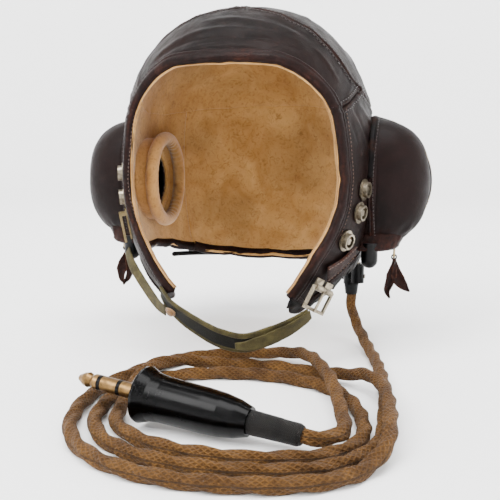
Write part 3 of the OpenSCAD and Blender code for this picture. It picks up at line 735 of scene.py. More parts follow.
# folds: curve, height and half width in mm
FOLDS = [
    ([(-40, 42), (-29, 48), (-15, 51.6), (12, 51.7), (38, 48)], 0.9, 3.2),
    ([(-42, 39), (-30, 44.5), (-15, 48), (10, 48.3), (30, 46.5)], -0.8, 2.6),
    ([(-22, 43), (-3, 44.6), (18, 43.4)], 0.85, 2.0),
    ([(-36, 40.2), (-17, 42.0), (12, 41.6), (33, 39.2)], -0.5, 1.2),
    ([(-21, 58), (12, 57.6), (40, 50.5)], 0.7, 3.0),
    ([(1, 47), (20, 47.9), (36, 43)], -0.5, 1.6),
    ([(18, 62), (34, 56), (46, 48)], -0.5, 2.4),
    ([(44, 46), (50, 40), (54, 32)], 0.6, 2.2),
    ([(-46, 30), (-52, 38), (-56, 46)], 0.7, 2.6),
    ([(66.8, 35.6), (60, 30), (54.5, 24)], 0.5, 2.0),
    ([(60, 25), (68, 17), (81, 8)], -0.9, 1.7),
    ([(64, 26), (78, 21), (95, 17)], 0.9, 2.0),
    ([(57, 19.7), (62, 12), (65.7, 4.3)], -0.6, 1.6),
    ([(62, 22), (71, 10), (76, 2)], 0.6, 1.8),
    ([(76, 29), (90, 22), (104, 20)], -0.7, 1.8),
    ([(-58, 26), (-70, 18), (-84, 10)], 0.9, 2.0),
    ([(-64, 28), (-80, 22), (-98, 18)], -0.8, 1.8),
    ([(-57, 16), (-62, 6), (-66, -6)], -0.6, 1.7),
    ([(118, 22), (124, 4), (122, -20)], 0.6, 2.4),
    ([(-118, 20), (-125, 2), (-121, -22)], 0.6, 2.4),
    ([(80, 40), (98, 50), (120, 52)], 0.8, 3.0),
    ([(88, 34), (108, 40), (126, 44)], -0.6, 2.4),
    ([(-78, 42), (-96, 52), (-124, 54)], 0.8, 3.0),
    ([(-84, 35), (-106, 41), (-128, 38)], -0.6, 2.4),
    ([(60, 62), (90, 70), (140, 66)], 0.7, 3.0),
    ([(-58, 60), (-92, 70), (-150, 62)], 0.7, 3.0),
    ([(140, 20), (160, 12), (185, 14), (215, 20)], 0.8, 3.0),
    ([(135, 4), (165, -4), (200, -2), (222, 6)], -0.8, 2.6),
    ([(138, -16), (170, -20), (205, -17), (224, -24)], 0.9, 2.8),
    ([(140, -32), (175, -34), (212, -32)], -0.6, 2.2)]
FOLD_LINES = [(on_shell(p), h, w) for p, h, w in FOLDS]
EDGE_LINES = [on_shell(FACE_EDGE), on_shell(mirrored(FACE_EDGE)), on_shell(EAR_BOTTOM),
              on_shell(mirrored(EAR_BOTTOM)), on_shell(NECK_BOTTOM),
              on_shell(round_back(NECK_BOTTOM))]


def relief(p):
    """Height of seams, folds and wrinkles over the smooth shell, and the wear there."""
    h = 0.75 * value_noise(p, 34, 1) + 0.32 * value_noise(p, 13, 2)
    h += 0.13 * value_noise(p, 5.5, 3) + 0.06 * value_noise(p, 2.6, 4)
    wear = 0.15 * smoothstep(value_noise(p, 22, 9), 0.1, 0.7)
    for line, k in SEAM_LINES:
        d, at = distance(p, line)
        near = np.exp(-(d / 9.0) ** 2)
        pucker = np.sin(at * len(line) / 4.1 + 2.5 * value_noise(p, 11, 5))
        h += near * 0.22 * pucker
        h += k * (-1.15 * np.exp(-(d / 0.75) ** 2) + 0.5 * np.exp(-((d - 2.3) / 1.5) ** 2)
                  - 0.22 * np.exp(-((d - 3.6) / 0.45) ** 2))
        wear = np.maximum(wear, 0.55 * np.exp(-((d - 1.3) / 0.9) ** 2))
    for line, height, width in FOLD_LINES:
        d, at = distance(p, line)
        taper = np.sin(math.pi * np.clip(at, 0, 1)) ** 0.6
        h += height * taper * np.exp(-(d / width) ** 2)
    for line in EDGE_LINES:
        d, _ = distance(p, line)
        wear = np.maximum(wear, 0.4 * np.exp(-(d / 5.0) ** 2))
    return h, wear


def cut_ear(piece):
    """Opens the round ear hole in a closed sheet and joins its two faces round it."""
    bm = bmesh.new()
    bm.from_mesh(piece.data)

    def reach(q):
        return math.hypot(q.y / MM - POD[1], q.z / MM - POD[2])
    gone = [f for f in bm.faces if all(reach(v.co) < EAR_HOLE_R + 0.8 for v in f.verts)]
    bmesh.ops.delete(bm, geom=gone, context="FACES")
    rim = [e for e in bm.edges if e.is_boundary]
    for v in {v for e in rim for v in e.verts}:
        k = EAR_HOLE_R / reach(v.co)
        v.co.y = (POD[1] + (v.co.y / MM - POD[1]) * k) * MM
        v.co.z = (POD[2] + (v.co.z / MM - POD[2]) * k) * MM
    bmesh.ops.bridge_loops(bm, edges=rim)
    bmesh.ops.recalc_face_normals(bm, faces=bm.faces)
    bm.to_mesh(piece.data)
    bm.free()
    piece.data.polygons.foreach_set("use_smooth", [True] * len(piece.data.polygons))


THINNEST = 1.2


def panel(name, node, edges, counts, hole=False):
    """One leather panel: outer face with relief, plain inner face, rounded edge."""
    g = shell_grid(edges, counts)
    outer = surf(g)
    h, wear = relief(outer)
    outer = outer + surf_normal(g) * h[..., None]
    inner = surf(g, -LEATHER)
    thin = np.linalg.norm(outer - inner, axis=-1) < THINNEST
    outer[thin] = (inner + surf_normal(g) * THINNEST)[thin]
    pts, faces = slab(outer, inner)
    piece = build(name, pts, faces, LEATHER_MAT, wear=grid_values(wear))
    if hole:
        cut_ear(piece)
    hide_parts(node)


def ear_edges(side):
    return [flip(p, side) for p in (EAR_BOTTOM, EAR_TOP, FACE_EDGE[6:][::-1], EAR_REAR)]


panel("brow", "brow_panel", (BROW_LOW, mirrored(BROW_SEAM)[::-1] + BROW_SEAM[1:],
                             mirrored(TEMPLE_SEAM), TEMPLE_SEAM), (230, 64))
for side, tag in ((1, "left"), (-1, "right")):
    panel("crown_" + tag, "crown_panel_" + tag,
          [flip(p, side) for p in (BROW_SEAM, REAR_SEAM, CROWN_MID, SIDE_SEAM)], (105, 150))
    panel("ear_" + tag, "ear_panel_" + tag, ear_edges(side), (110, 96), hole=True)
panel("neck", "neck_panel", (NECK_LOW, NECK_TOP, EAR_REAR, FAR_REAR), (130, 90))

# ---------------------------------------------------------------- hems and bindings
# section of a rolled edge: distance into the leather, height over the shell
HEM = [(7.4, -0.3), (7.1, 0.7), (6.0, 1.15), (5.1, 0.75), (4.2, 1.25), (2.6, 1.6), (0.9, 1.3),
       (-0.3, 0.4), (-0.8, -1.0), (-0.6, -2.6), (0.5, -4.1), (2.4, -4.9), (4.8, -5.1), (7.0, -4.9)]


def edge_frame(curve, step=1.1, away=None):
    """Points, outward normals and sideways directions along a curve on the shell.

    Sideways is away from the point `away`, where one is given.
    """
    p = on_shell(curve, step)
    n = surf_normal(p - SHELL_MID)
    b = unit(np.cross(n, unit(np.gradient(p, axis=0))))
    if away is not None:
        b *= np.sign(np.sum(b * (p - np.asarray(away, float)), 1, keepdims=True))
    return p, n, b


def hem(name, curve, away, node=None, size=1.0, ragged=0.3):
    """Rolled edge along a curve of the shell; `away` is a point on the open side."""
    p, n, b = edge_frame(curve, away=away)
    h, _ = relief(p)
    h = np.clip(h, -0.9, 0.9)
    s = arc(p)
    rows = []
    for k, (x, y) in enumerate(HEM):
        wave = value_noise(xyz(s, k * 2.0, 0), 6.5, 31)
        pucker = 0.14 * np.sin(s * TURN / 3.1 + k) * (y > 0.5)
        x2 = x * size - ragged * 1.4 * wave * (x < 1)
        y2 = y * (size if y > 0 else 1.0) + 0.22 * wave * (y > 0) + pucker
        rows.append(p + b * x2[:, None] + n * (y2 + h * (0.85 if y > -1 else 0.3))[:, None])
    tube = np.stack(rows, 1)
    worn = np.array([0.7 if -1 < y < 1.0 and x < 1 else 0.25 for x, y in HEM])
    patch = smoothstep(value_noise(p, 14, 33), -0.1, 0.6)[:, None]
    piece = build(name, tube.reshape(-1, 3), tube_faces(len(p), len(HEM)), HEM_MAT,
                  wear=(worn[None] * (0.25 + 0.75 * patch)).ravel())
    if node:
        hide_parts(node)


BEFORE_FACE = (0, -110, 5)
BELOW_EAR = (60, 10, -130)
hem("face_edge_roll", FACE, BEFORE_FACE, node="face_hem")
hem("ear_edge_left", EAR_BOTTOM, BELOW_EAR, size=0.75, ragged=0.7)
hem("ear_edge_right", mirrored(EAR_BOTTOM), (-60, 10, -130), size=0.75, ragged=0.7)
hem("neck_edge", NECK_LOW, (0, 80, -140), size=0.9)

# ---------------------------------------------------------------- lining


def lining(name, node, edges, counts, hole=False):
    """Soft leather inside the panels, with creases on the side that shows."""
    g = shell_grid(edges, counts)
    outer = surf(g, -2.5)
    base = surf(g, -4.5)
    h = 0.55 * value_noise(base, 26, 41) + 0.3 * value_noise(base, 9, 42)
    h += 0.12 * value_noise(base, 3.4, 43)
    inner = base + surf_normal(g) * h[..., None]
    dirt = 0.3 * smoothstep(value_noise(base, 30, 44), 0.0, 0.8)
    pts, faces = slab(outer, inner)
    piece = build(name, pts, faces, SUEDE_MAT, wear=grid_values(dirt))
    if hole:
        cut_ear(piece)
    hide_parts(node)


lining_rear = [(-130, 26), (-155, 26.5), (-180, 27), (-205, 26.5), (-230, 26)]
lining("lining_top", "lining_crown", (BROW_LOW, lining_rear, mirrored(EAR_TOP), EAR_TOP),
       (120, 110))
for side, tag in ((1, "left"), (-1, "right")):
    lining("lining_ear_" + tag, "lining_" + tag, ear_edges(side), (80, 70), hole=True)
lining("lining_back", "lining_neck", (NECK_LOW, NECK_TOP, EAR_REAR, FAR_REAR), (90, 64))

# facing: a tan strip sewn inside the face edge, its free edge curling away
FACING_WIDE = 13.5
for side, tag in ((1, "left"), (-1, "right")):
    p, n, b = edge_frame(flip(FACE_EDGE[5:], side), 1.2, BEFORE_FACE)
    x = np.linspace(-0.4, FACING_WIDE, 14)
    s = arc(p)
    ss, xx = np.meshgrid(s, x, indexing="ij")
    wave = value_noise(xyz(ss, xx * 0.3, 0), 15, 51)
    edge = (xx / FACING_WIDE) ** 2
    depth = -5.6 - edge * (2.6 + 2.2 * wave) + 0.25 * value_noise(xyz(ss, xx, 0), 4, 52)
    taper = np.interp(s, [0, 12, s[-1] - 10, s[-1]], [0.5, 1, 1, 0.45])[:, None]
    across = xx * taper * (1 + 0.14 * wave)
    face = p[:, None] + b[:, None] * across[..., None] + n[:, None] * depth[..., None]
    pts, faces = slab(face, face + n[:, None] * 1.3)
    worn = grid_values(0.7 * edge ** 4 + 0.5 * (xx < 0.6))
    piece = build("facing_" + tag, pts, faces, SUEDE_MAT, wear=worn)

# ear cushions: chamois rings, puckered round the ear opening
ROUND, ACROSS = 200, 40
pad_faces = [(j * ACROSS + k, (j + 1) % ROUND * ACROSS + k,
              (j + 1) % ROUND * ACROSS + (k + 1) % ACROSS, j * ACROSS + (k + 1) % ACROSS)
             for j in range(ROUND) for k in range(ACROSS)]
for side, tag in ((1, "left"), (-1, "right")):
    a = np.linspace(0, TURN, ROUND, endpoint=False)
    q = np.linspace(0, TURN, ACROSS, endpoint=False)
    aa, qq = np.meshgrid(a, q, indexing="ij")
    spot = xyz(np.cos(aa) * 30, np.sin(aa) * 30, 8 * np.cos(qq))
    inner_side = smoothstep(-np.cos(qq), 0.1, 0.9)
    rr = 4.9 + 0.18 * value_noise(spot, 9, 61) + 0.26 * inner_side * np.sin(38 * aa)
    rr -= 0.5 * np.exp(-((qq - math.pi * 0.5) / 0.16) ** 2)
    big = 31.4 + rr * np.cos(qq)
    x = 70.6 + rr * np.sin(qq) * 0.98
    ring = xyz(side * x, POD[1] + big * np.cos(aa), POD[2] + big * np.sin(aa))
    build("ear_pad_" + tag, ring.reshape(-1, 3), pad_faces, PAD_MAT,
                      wear=(0.5 * inner_side).ravel())
    wall = []
    for r in (31.8, 30.6):
        y = POD[1] + r * np.cos(a)
        z = POD[2] + r * np.sin(a)
        end = np.array([side_x(*c) for c in zip(y, z)]) - 4.0
        rows = [xyz(side * (73 + (end - 73) * f), y, z) for f in np.linspace(0, 1, 6)]
        wall.append(np.stack(rows))
    pts, faces = slab(wall[0], wall[1], closed=True)
    skirt = build("ear_pad_wall_" + tag, pts, faces, PAD_MAT)
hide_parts("ear_cushions")

# ---------------------------------------------------------------- ear pods


def mirror_x(p, side):
    return p * np.array([side, 1, 1])


def pod_point(d, s, t):
    """Point of the pod in direction d; s is -1 for the half towards the face."""
    u = unit(d)
    f = 0.78 if s < 0 else 0.9
    y = np.abs(u[..., 1])
    k = (np.abs(u[..., 0]) ** 2.5 + (y / f) ** 2.5 + np.abs(u[..., 2]) ** 2.5) ** -0.4
    r = POD_R * (1 + (k - 1) * smoothstep(y * POD_R, 5, 12)) - t
    return POD + np.stack([u[..., 0] * r, s * (ZIP_GAP + y * r * (1 - ZIP_GAP / POD_R)),
                           u[..., 2] * r], -1)


def pod_rim(count):
    """Directions along the rim of a pod half, from top to bottom."""
    a = np.radians(np.linspace(96, 264, count))
    q = math.radians(82)
    return xyz(math.cos(q), -math.sin(q) * np.cos(a), math.sin(q) * np.sin(a))


def pod_half(name, node, side, s):
    """Puckered leather half of an ear pod, from the zip to the head shell."""
    m, n = 150, 92
    a = np.radians(84.5 - np.linspace(0, 173, m + 1))
    seam = xyz(np.cos(a), 0, np.sin(a))
    rim = pod_rim(m + 1)
    f = np.linspace(0, 1, n + 1)[:, None]
    g = fill(seam, rim, seam[0] * (1 - f) + rim[0] * f, seam[-1] * (1 - f) + rim[-1] * f)
    base = pod_point(g, s, 0)
    to_zip = np.abs(base[..., 1] - POD[1]) - ZIP_GAP
    rows = np.linalg.norm(np.diff(base, axis=0), axis=-1)
    to_rim = np.vstack([np.cumsum(rows[::-1], 0)[::-1], np.zeros((1, m + 1))])
    z = base[..., 2] - POD[2]
    spot = mirror_x(base, side) + 200 * side
    h = 0.5 * value_noise(spot, 30, 71) + 0.22 * value_noise(spot, 11, 72)
    h += 0.07 * value_noise(spot, 4.2, 73)
    lowness = smoothstep(-z, 20, 40)
    h += lowness * 0.75 * value_noise(spot / np.array([4.0, 4.0, 13.0]), 1, 74)
    h += 0.75 * np.exp(-((to_zip - 2.0) / 1.7) ** 2) * smoothstep(to_zip, 0, 1.2)
    h -= 0.3 * np.exp(-((to_zip - 4.6) / 0.5) ** 2)
    h += 0.6 * np.exp(-((to_rim - 2.4) / 1.6) ** 2) - 0.4 * np.exp(-((to_rim - 5.0) / 0.55) ** 2)
    h *= 1 - 0.8 * smoothstep(4.5 - to_zip, 0, 2) * (to_zip > 2.8)
    normal = unit(base - POD)
    outer = base + normal * h[..., None]
    inner = pod_point(g, s, 2.4)
    feet = []
    for grid in (outer, inner):
        foot = grid[-1].copy()
        foot[:, 0] = [side_x(y, zz) + 0.3 for y, zz in foot[:, 1:]]
        feet.append(foot)
    steps = np.linspace(0, 1, 5)[1:, None, None]
    outer = np.concatenate([outer, outer[-1][None] * (1 - steps) + feet[0][None] * steps])
    inner = np.concatenate([inner, inner[-1][None] * (1 - steps) + feet[1][None] * steps])
    wear = 0.5 * np.exp(-(to_zip / 1.4) ** 2) + 0.55 * np.exp(-((to_rim - 2) / 1.6) ** 2)
    wear += 0.55 * smoothstep(-z, 26, 44) * smoothstep(value_noise(spot, 12, 76), -0.4, 0.5)
    wear = np.vstack([wear, np.repeat(wear[-1:] * 0.6, 4, 0)])
    pts, faces = slab(outer, inner)
    piece = build(name, mirror_x(pts, side), faces, POD_MAT,
                  wear=grid_values(np.clip(wear, 0, 1)))
    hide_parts(node)


for side, tag in ((1, "left"), (-1, "right")):
    pod_half("pod_face_side_" + tag, "pod_front_" + tag, side, -1)
    pod_half("pod_neck_side_" + tag, "pod_rear_" + tag, side, 1)
    # tape that the zip teeth are set on
    a = np.radians(np.linspace(84, -88, 90))
    out = xyz(np.cos(a), 0, np.sin(a))
    path = POD + 45.0 * out
    u, v = frames(path, up=out)
    pts, faces, uv = sweep(path, [(-0.3, -6), (0.3, -6), (0.3, 6), (-0.3, 6)], u, v)
    tape = build("zip_tape_" + tag, mirror_x(pts, side), faces, TAPE_MAT, uv=uv)
    # binding where the pod meets the ear panel: black at the top, brown below; the black of the
    # top half is partly the binding's own dark colour and partly painted shadow under the pod rim
    for s in (-1, 1):
        half_tag = "%s_%s" % ("face" if s < 0 else "neck", tag)
        rim = pod_point(pod_rim(200), s, -0.2)
        parts = (("binding", 4, 92, BLACK_STRIP, 1.5, 5.4), ("piping", 92, 196, HEM_MAT, 1.1, 2.0))
        for label, k0, k1, material, thick, wide in parts:
            path = resample(rim[k0:k1], step=1.1)
            out = path - POD
            out[:, 0] = 0
            u, v = frames(path, up=out)
            profile = [(thick * math.cos(q), 0.5 * wide * math.sin(q))
                       for q in np.linspace(0, TURN, 12, endpoint=False)]
            lump = 1 + 0.12 * value_noise(path, 5, 77)
            pts, faces, _ = sweep(path, profile, u, v, scale=lump)
            strip = build("pod_%s_%s" % (label, half_tag), mirror_x(pts, side), faces, material,
                          wear=np.repeat(0.6 * smoothstep(value_noise(path, 9, 78), 0, 0.5), 12))
        # hanging hem under the pod, open at the zip
        q = np.radians(np.linspace(9, 96 if s < 0 else 84, 90))
        wall = []
        for inset in (0.0, 1.6):
            rows = []
            for f in np.linspace(0, 1, 16):
                long_x = 31.6 * (1 - f) + 25.0 * f - inset
                long_y = (28.3 if s < 0 else 31) * (1 - f) + (32.5 if s < 0 else 29) * f - inset
                c, sn = np.abs(np.cos(q)) ** 0.8, np.abs(np.sin(q)) ** 0.8
                x = 83 + long_x * np.sign(np.cos(q)) * c
                y = 12 + s * (5.6 + (long_y - 5.6) * sn)
                z = -34 - 11.5 * f + 0 * q
                w = 0.75 * value_noise(xyz(x / 3.2, y / 3.2, z / 12 + 5 * side), 1, 79)
                swell = (w * (0.4 + 0.6 * f) + 0.7 * math.exp(-((f - 0.86) / 0.08) ** 2))
                x = x + swell * np.cos(q)
                y = y + s * swell * np.sin(q)
                x = np.maximum(x, [side_x(yy, zz) + 0.4 for yy, zz in zip(y, z)])
                rows.append(xyz(x, y, z + 0.5 * w * f))
            wall.append(np.stack(rows))
        pts, faces = slab(wall[0], wall[1])
        f = np.linspace(0, 1, 16)[:, None] + 0 * q[None]
        wear = np.clip(0.35 + 0.5 * f + 0.3 * value_noise(wall[0], 8, 80), 0, 1)
        hang = build("pod_hem_" + half_tag, mirror_x(pts, side), faces, POD_MAT,
                     wear=grid_values(wear))

# ---------------------------------------------------------------- stitching
# one thread loop: place along its length, fatness and height at four rings
BODY = np.array([(-0.5, 0.35, -0.35), (-0.3, 0.9, 0.12), (0.3, 0.9, 0.12), (0.5, 0.35, -0.35)])
STITCH_LIFT = 0.12


def stitch_mesh(name, at, along_t, normal, material, length=2.1, radius=0.3):
    """One mesh of small thread loops lying along a seam."""
    side = np.cross(normal, along_t)
    pts = np.empty((len(at), 4, 6, 3))
    for k, (x, fat, up) in enumerate(BODY):
        for j, q in enumerate(np.linspace(0, TURN, 6, endpoint=False)):
            pts[:, k, j] = (at + along_t * x * length + normal * (up + fat * radius * math.sin(q))
                            + side * fat * radius * math.cos(q) * 1.2)
    one = tube_faces(4, 6)
    faces = [[24 * k + v for v in face] for k in range(len(at)) for face in one]
    piece = build(name, pts.reshape(-1, 3), faces, material)


def shell_stitches(name, lines, material, pitch=3.0, **size):
    """Stitches beside curves of the shell; lines holds each curve and its sideways offset."""
    at = []
    for curve, offset in lines:
        p, _, b = edge_frame(curve, pitch)
        at.append(resample(surf(p + b * offset - SHELL_MID), step=pitch))
    tan = np.concatenate([unit(np.gradient(q, axis=0)) for q in at])
    at = np.concatenate(at)
    nor = surf_normal(at - SHELL_MID)
    h, _ = relief(at)
    stitch_mesh(name, at + nor * (h + STITCH_LIFT)[:, None], tan, nor, material, **size)


double = [(BROW_SEAM, 3.5), (BROW_SEAM, -3.5), (TEMPLE_SEAM, 3.3), (TEMPLE_SEAM, -3.3),
          (SIDE_SEAM, 3.5), (SIDE_SEAM, -3.5), (SIDE_SEAM, 5.7), (EAR_REAR[1:], 3.3),
          (EAR_REAR[1:], -3.3), (REAR_SEAM, 3.4), (REAR_SEAM, -3.4)]
rows = double + [(mirrored(c), o) for c, o in double] + [(CROWN_MID, 3.4), (CROWN_MID, -3.4)]
shell_stitches("seam_stitches", rows, DARK_THREAD)
shell_stitches("strip_stitches", [(flip(FACE_EDGE[6:13], k), 10.5) for k in (1, -1)], THREAD,
               pitch=2.6, length=1.6, radius=0.22)

# ---------------------------------------------------------------- straps
STRAP_MID = np.array([0, 0, -20.0])


def strap(name, route, wide, lift, thick, material, roll, node=None, start=0.0, side=0.0,
          sag=0.0):
    """Flat band along a route; lift is how far its inner face stands off the route."""
    p = resample(catmull(route, 12), step=1.2)
    p = p[int(start * (len(p) - 1)):]
    t = unit(np.gradient(p, axis=0))
    r = p - STRAP_MID
    o = unit(r - t * np.sum(r * t, 1, keepdims=True))
    across = np.cross(t, o)
    w = np.linspace(-0.5, 0.5, 11)
    s = arc(p)
    q = np.radians(np.interp(s / s[-1], np.linspace(0, 1, len(roll)), roll))[:, None]
    o, across = o * np.cos(q) + across * np.sin(q), across * np.cos(q) - o * np.sin(q)
    width = np.interp(s / s[-1], np.linspace(0, 1, len(wide)), wide)
    edge = 0.2 * value_noise(xyz(s, 0, 0), 3.0, 91)
    wave = value_noise(xyz(s[:, None], w * 4, w), 9, 92)
    bend = 0.35 * wave + sag * np.sin(np.pi * s / s[-1])[:, None]
    mid = p + across * side
    rows = mid[:, None] + across[:, None] * (w[None] * (width + edge)[:, None])[..., None]
    inner = rows + o[:, None] * (lift + bend)[..., None]
    outer = inner + o[:, None] * thick
    pts, faces = slab(outer, inner)
    uv = np.stack([w[None] * width[:, None] + 0 * s[:, None], s[:, None] + 0 * w[None]], -1)
    worn = np.zeros(outer.shape[:2]) + 0.5 * np.abs(w[None] * 2) ** 6
    piece = build(name, pts, faces, material, uv=grid_values(uv), wear=grid_values(worn))
    if node:
        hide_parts(node)


CHIN = [[52.6, -63.8, -82.5], [45, -69, -87.5], [31, -76, -94.5], [14.5, -80, -99.5],
        [-2, -80, -97.5], [-18, -76, -92], [-31, -71, -86], [-42, -65.5, -79.5],
        [-49, -61, -72]]
CHIN_ROLL = (0, 22, 32, 22, 0)
strap("chin_strap_band", CHIN, [11, 12, 13, 12, 10.5], 0.1, 1.2, DARK_WEB, CHIN_ROLL,
      node="chin_strap")
strap("chin_strap_rim", CHIN, [3.0, 3.2, 2.8, 3], -0.2, 1.9, OLIVE_MAT, CHIN_ROLL, side=5.4)
strap("chin_strap_lower_rim", CHIN, [1.8, 1.9, 1.8], -0.2, 1.9, OLIVE_MAT, CHIN_ROLL, side=-5.5)
TAIL = [[55.5, -63.2, -80.0], [45, -70.5, -88.0], [31, -78.2, -95.3], [17, -81.6, -100.2],
        [9, -82.0, -100.8]]
strap("chin_strap_tail", TAIL, [9, 9.5, 9.5, 8.5, 4], 0.9, 1.1, OLIVE_MAT,
      (0, 12, 22, 30, 32), start=0.05, sag=0.3)
ELASTIC = [[-88, -25, -50.5], [-82.5, -32, -58.5], [-73, -41, -67.5], [-61, -52, -76],
           [-51.5, -60.5, -82], [-44, -67.2, -84.2]]
strap("chin_elastic_band", ELASTIC, [7, 6.6, 7, 7.2], 0.1, 1.2, ELASTIC_MAT,
      (-40, -60, -55, -45, -30), node="chin_elastic")

# toggle: thin cord wound into a flat button
tilt, facing = math.radians(129), math.radians(-29.3)
spin = np.array(Matrix.Rotation(facing, 3, "Z") @ Matrix.Rotation(tilt, 3, "X"))
profile = [(0.72 * math.cos(q), 0.66 * math.sin(q)) for q in np.linspace(0, TURN, 9)[:-1]]
parts = []
for r0, z in ((3.7, 0.75), (2.3, 2.1)):
    a = np.linspace(0, TURN * (r0 / 1.15), 160)
    r = r0 * (1 - a / a[-1]) + 0.35
    path = xyz(r * np.cos(a), r * np.sin(a), z + 0.25 * (1 - r / r0)) @ spin.T
    path = path + np.array([-39.3, -69.8, -84.1])
    u, v = frames(path, up=np.tile(spin[:, 2], (160, 1)))
    parts.append(sweep(path, profile, u, v)[:2])
pts, faces = merge(parts)
toggle = build("chin_toggle", pts, faces, TAN_THREAD)
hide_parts("chin_button")

# buckle strap: worn grey leather with ragged brown edges, stitched down
BELT_LOW = [[66, -34], [58, -37.5], [50, -40.8]]
BELT_TOP = [[64.5, -29.8], [56.5, -33], [47.5, -35.3]]
g = shell_grid((BELT_LOW, BELT_TOP, [BELT_LOW[0], BELT_TOP[0]], [BELT_LOW[2], BELT_TOP[2]]),
               (44, 22))
rim = np.minimum(np.linspace(0, 1, 23), np.linspace(1, 0, 23))[:, None] + 0 * g[..., 0]
crease = 0.5 * value_noise(surf(g), 6, 94) + 0.25 * value_noise(surf(g), 2.4, 95)
outer = surf(g) + surf_normal(g) * (3.5 + crease - 0.6 * np.exp(-(rim / 0.1) ** 2))[..., None]
inner = surf(g, 2.05)
pts, faces = slab(outer, inner)
fray = np.clip(np.exp(-(rim / 0.13) ** 2) + 0.3 * (crease > 0.35), 0, 1)
belt = build("buckle_strap_leather", pts, faces, GREY_MAT,
             wear=grid_values(fray))
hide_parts("buckle_strap")

# ragged flap of leather hanging behind it
p, n, b = edge_frame(EAR_BOTTOM, 1.0, BELOW_EAR)
keep = p[:, 1] < 12
p, n, b = p[keep], n[keep], b[keep]
f = np.linspace(0, 1, 16)
s = arc(p)
rag = 5.5 + 3.2 * value_noise(xyz(s, 0, 0), 6.0, 97) + 1.6 * value_noise(xyz(s, 0, 0), 2.2, 98)
rag *= smoothstep(s, 0, 6) * smoothstep(s[-1] - s, 0, 8)
down = -b[:, None] * (f[None, :, None] * (rag + 2)[:, None, None] - 2)
wave = value_noise(xyz(s[:, None], f * 8, f), 4.5, 99)
outer = p[:, None] + down + n[:, None] * (1.6 + 0.8 * wave * f)[..., None]
pts, faces = slab(outer, outer - n[:, None] * 1.0)
flap = build("ragged_flap", pts, faces, BLACK_STRIP,
             wear=grid_values(smoothstep(wave + f, 0.4, 1.6)))

# strap end on the back of the helmet that holds the goggles
g = shell_grid(([[176, 2], [184, 2]], [[176, 30], [184, 30]],
                [[176, 2], [176, 30]], [[184, 2], [184, 30]]), (16, 60))
crease = 0.25 * value_noise(surf(g), 9, 101)
outer = surf(g) + surf_normal(g) * (1.9 + crease)[..., None]
pts, faces = slab(outer, surf(g, 0.45))
loop = build("goggle_strap_tab", pts, faces, GREY_MAT)
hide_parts("goggle_tab")

# ---------------------------------------------------------------- zip pulls
PULL = np.array([105.44, 12.0, -54.2])


LOBE_THICK = 1.0


def lobe(route, wide, across, seed):
    """One leather tail: a thin strip along a route, its width turning as it goes."""
    p = resample(catmull(route, 10), count=46)
    t = unit(np.gradient(p, axis=0))
    f = np.linspace(0, 1, 46)
    a = np.stack([np.interp(f, np.linspace(0, 1, len(across)), [c[k] for c in across])
                  for k in range(3)], 1)
    a = unit(a - t * np.sum(a * t, 1, keepdims=True))
    n = np.cross(t, a)
    w = np.linspace(-0.5, 0.5, 9)
    width = np.interp(f, np.linspace(0, 1, len(wide)), wide)
    width = width * (1 + 0.08 * value_noise(xyz(f * 9, 0, seed), 1, 3))
    curl = 0.9 * (4 * w[None] ** 2 - 0.4) * (0.3 + f[:, None])
    crumple = 0.3 * value_noise(xyz(f[:, None] * 7, w * 2, seed), 1, 5)
    rows = p[:, None] + a[:, None] * (w[None] * width[:, None])[..., None]
    front = rows + n[:, None] * (curl + crumple + LOBE_THICK / 2)[..., None]
    back = rows + n[:, None] * (curl + crumple - LOBE_THICK / 2)[..., None]
    pts, faces = slab(front, back)
    return pts, faces, grid_values(np.abs(w[None] * 2) ** 5 * 0.8 + 0.2 * f[:, None])


def pull(name, node, body, side, tails):
    """Leather zip pull: an eye round the ring and its hanging tails."""
    a = np.linspace(0, TURN, 25)[:-1]
    eye = [np.array([xyz(r * np.cos(a), y, r * np.sin(a)) for y in np.linspace(-2.2, 2.2, 5)])
           for r in (2.2, 1.25)]
    pts, faces = slab(eye[0], eye[1], closed=True)
    parts = [(pts, faces)]
    wear = [np.full(len(pts), 0.4)]
    for k, (route, wide, across) in enumerate(tails):
        pts, faces, value = lobe(route, wide, across, seed=k + 3 * side)
        parts.append((pts, faces))
        wear.append(value)
    pts, faces = merge(parts)
    piece = build(name, mirror_x(PULL, side) + pts, faces, TAB_MAT,
                  wear=np.clip(np.concatenate(wear), 0, 1), body=body)
    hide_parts(node)


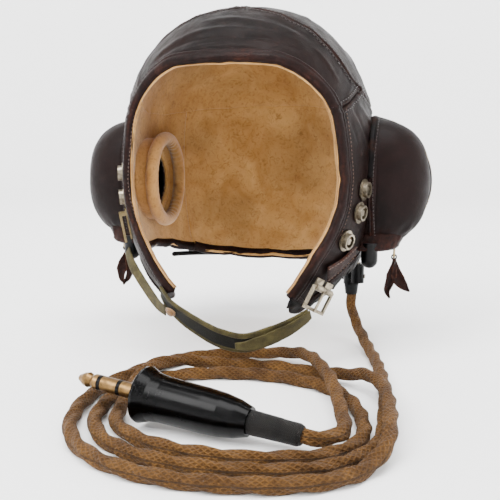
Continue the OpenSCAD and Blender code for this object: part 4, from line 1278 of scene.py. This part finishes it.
SIDEWAYS = [[0, 1, 0], [0.7, 0.7, 0], [1, 0.3, 0], [1, 0.2, 0], [1, 0, 0.2], [1, -0.3, 0.3]]
pull("pull_leather_left", "zip_tab_left", "zip_tab_left_body", 1, [
    ([[-0.3, 0, -1.4], [-0.6, -0.6, -6], [-1.2, -1.2, -12], [-2.8, -1.6, -19],
      [-4.2, -2.6, -25], [-2.2, -3.4, -30]], [4.4, 5.4, 7, 6.2, 4.2, 1.4], SIDEWAYS),
    ([[0.6, 0, -1.4], [0.8, 0.3, -6], [1.8, 0.1, -12], [4.4, -0.9, -17.5],
      [8.2, -1.6, -21.5], [12.0, -2.2, -24.5]], [4.4, 5.8, 8, 9.0, 6.4, 1.0], SIDEWAYS)])
pull("pull_leather_right", "zip_tab_right", "zip_tab_right_body", -1, [
    ([[0.3, 0, -1.4], [-0.6, -0.4, -6], [-2.4, -1.2, -12], [-3.6, -1.8, -18],
      [-3.0, -2.8, -24], [-0.6, -3.6, -28.5]], [4.4, 5.6, 7.6, 7.4, 5.0, 1.2], SIDEWAYS),
    ([[-0.6, 0, -1.4], [0.6, 0.3, -6], [2.4, 0.2, -12], [3.0, -0.6, -18],
      [1.6, -1.2, -24], [-2.4, -1.6, -30]], [4.4, 5.2, 6.0, 5.2, 4.0, 1.2], SIDEWAYS)])

# ---------------------------------------------------------------- stitches on the small pieces
line = [resample(surf(spread_between(BELT_LOW, BELT_TOP, share)), step=2.6)
        for share in (0.08, 0.92)]
tan = np.concatenate([unit(np.gradient(q, axis=0)) for q in line])
line = np.concatenate(line)
nor = surf_normal(line - SHELL_MID)
stitch_mesh("buckle_strap_stitches", line + nor * 4.0, tan, nor, THREAD, length=1.6,
            radius=0.26)
for side, tag in ((1, "left"), (-1, "right")):
    inward = pod_rim(200)[4:190] + np.array([0.072, 0, 0])
    lines = [resample(pod_point(inward, s, -0.5), step=2.7) for s in (-1, 1)]
    tan = np.concatenate([unit(np.gradient(line, axis=0)) for line in lines])
    at = np.concatenate(lines)
    nor = unit(at - POD)
    at, tan, nor = (mirror_x(v, side) for v in (at + nor * 0.45, tan, nor))
    stitch_mesh("pod_stitches_" + tag, at, tan, nor, DARK_THREAD, length=1.7, radius=0.24)

# ---------------------------------------------------------------- parts kept from the CAD
KEPT = [
    (ZIP_METAL, ["zip_teeth_front", "zip_teeth_rear", "zip_slider_left", "zip_slider_right",
                 "zip_ring_left", "zip_ring_right"]),
    (NICKEL, ["stud_flanges", "stud_rings", "buckle_frame", "buckle_prong", "buckle_hanger",
              "goggle_tab_stud", "junction_screws", "diaphragms", "voice_magnets"]),
    (HOOK_METAL, ["mask_hook"]),
    (BAKELITE, ["receiver_cases", "receiver_caps", "junction_box", "plug_shell"]),
    (RUBBER, ["rubber_stubs", "cord_gland"]),
    (LEAD_MAT, ["receiver_lead_left", "receiver_lead_right"]),
    (CONTACT, ["plug_contacts"]),
    (INSULATOR, ["plug_insulators"])]
for material, names in KEPT:
    for name in names:
        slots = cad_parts[name].data.materials
        if not slots:
            slots.append(material)
        for k in range(len(slots)):
            slots[k] = material
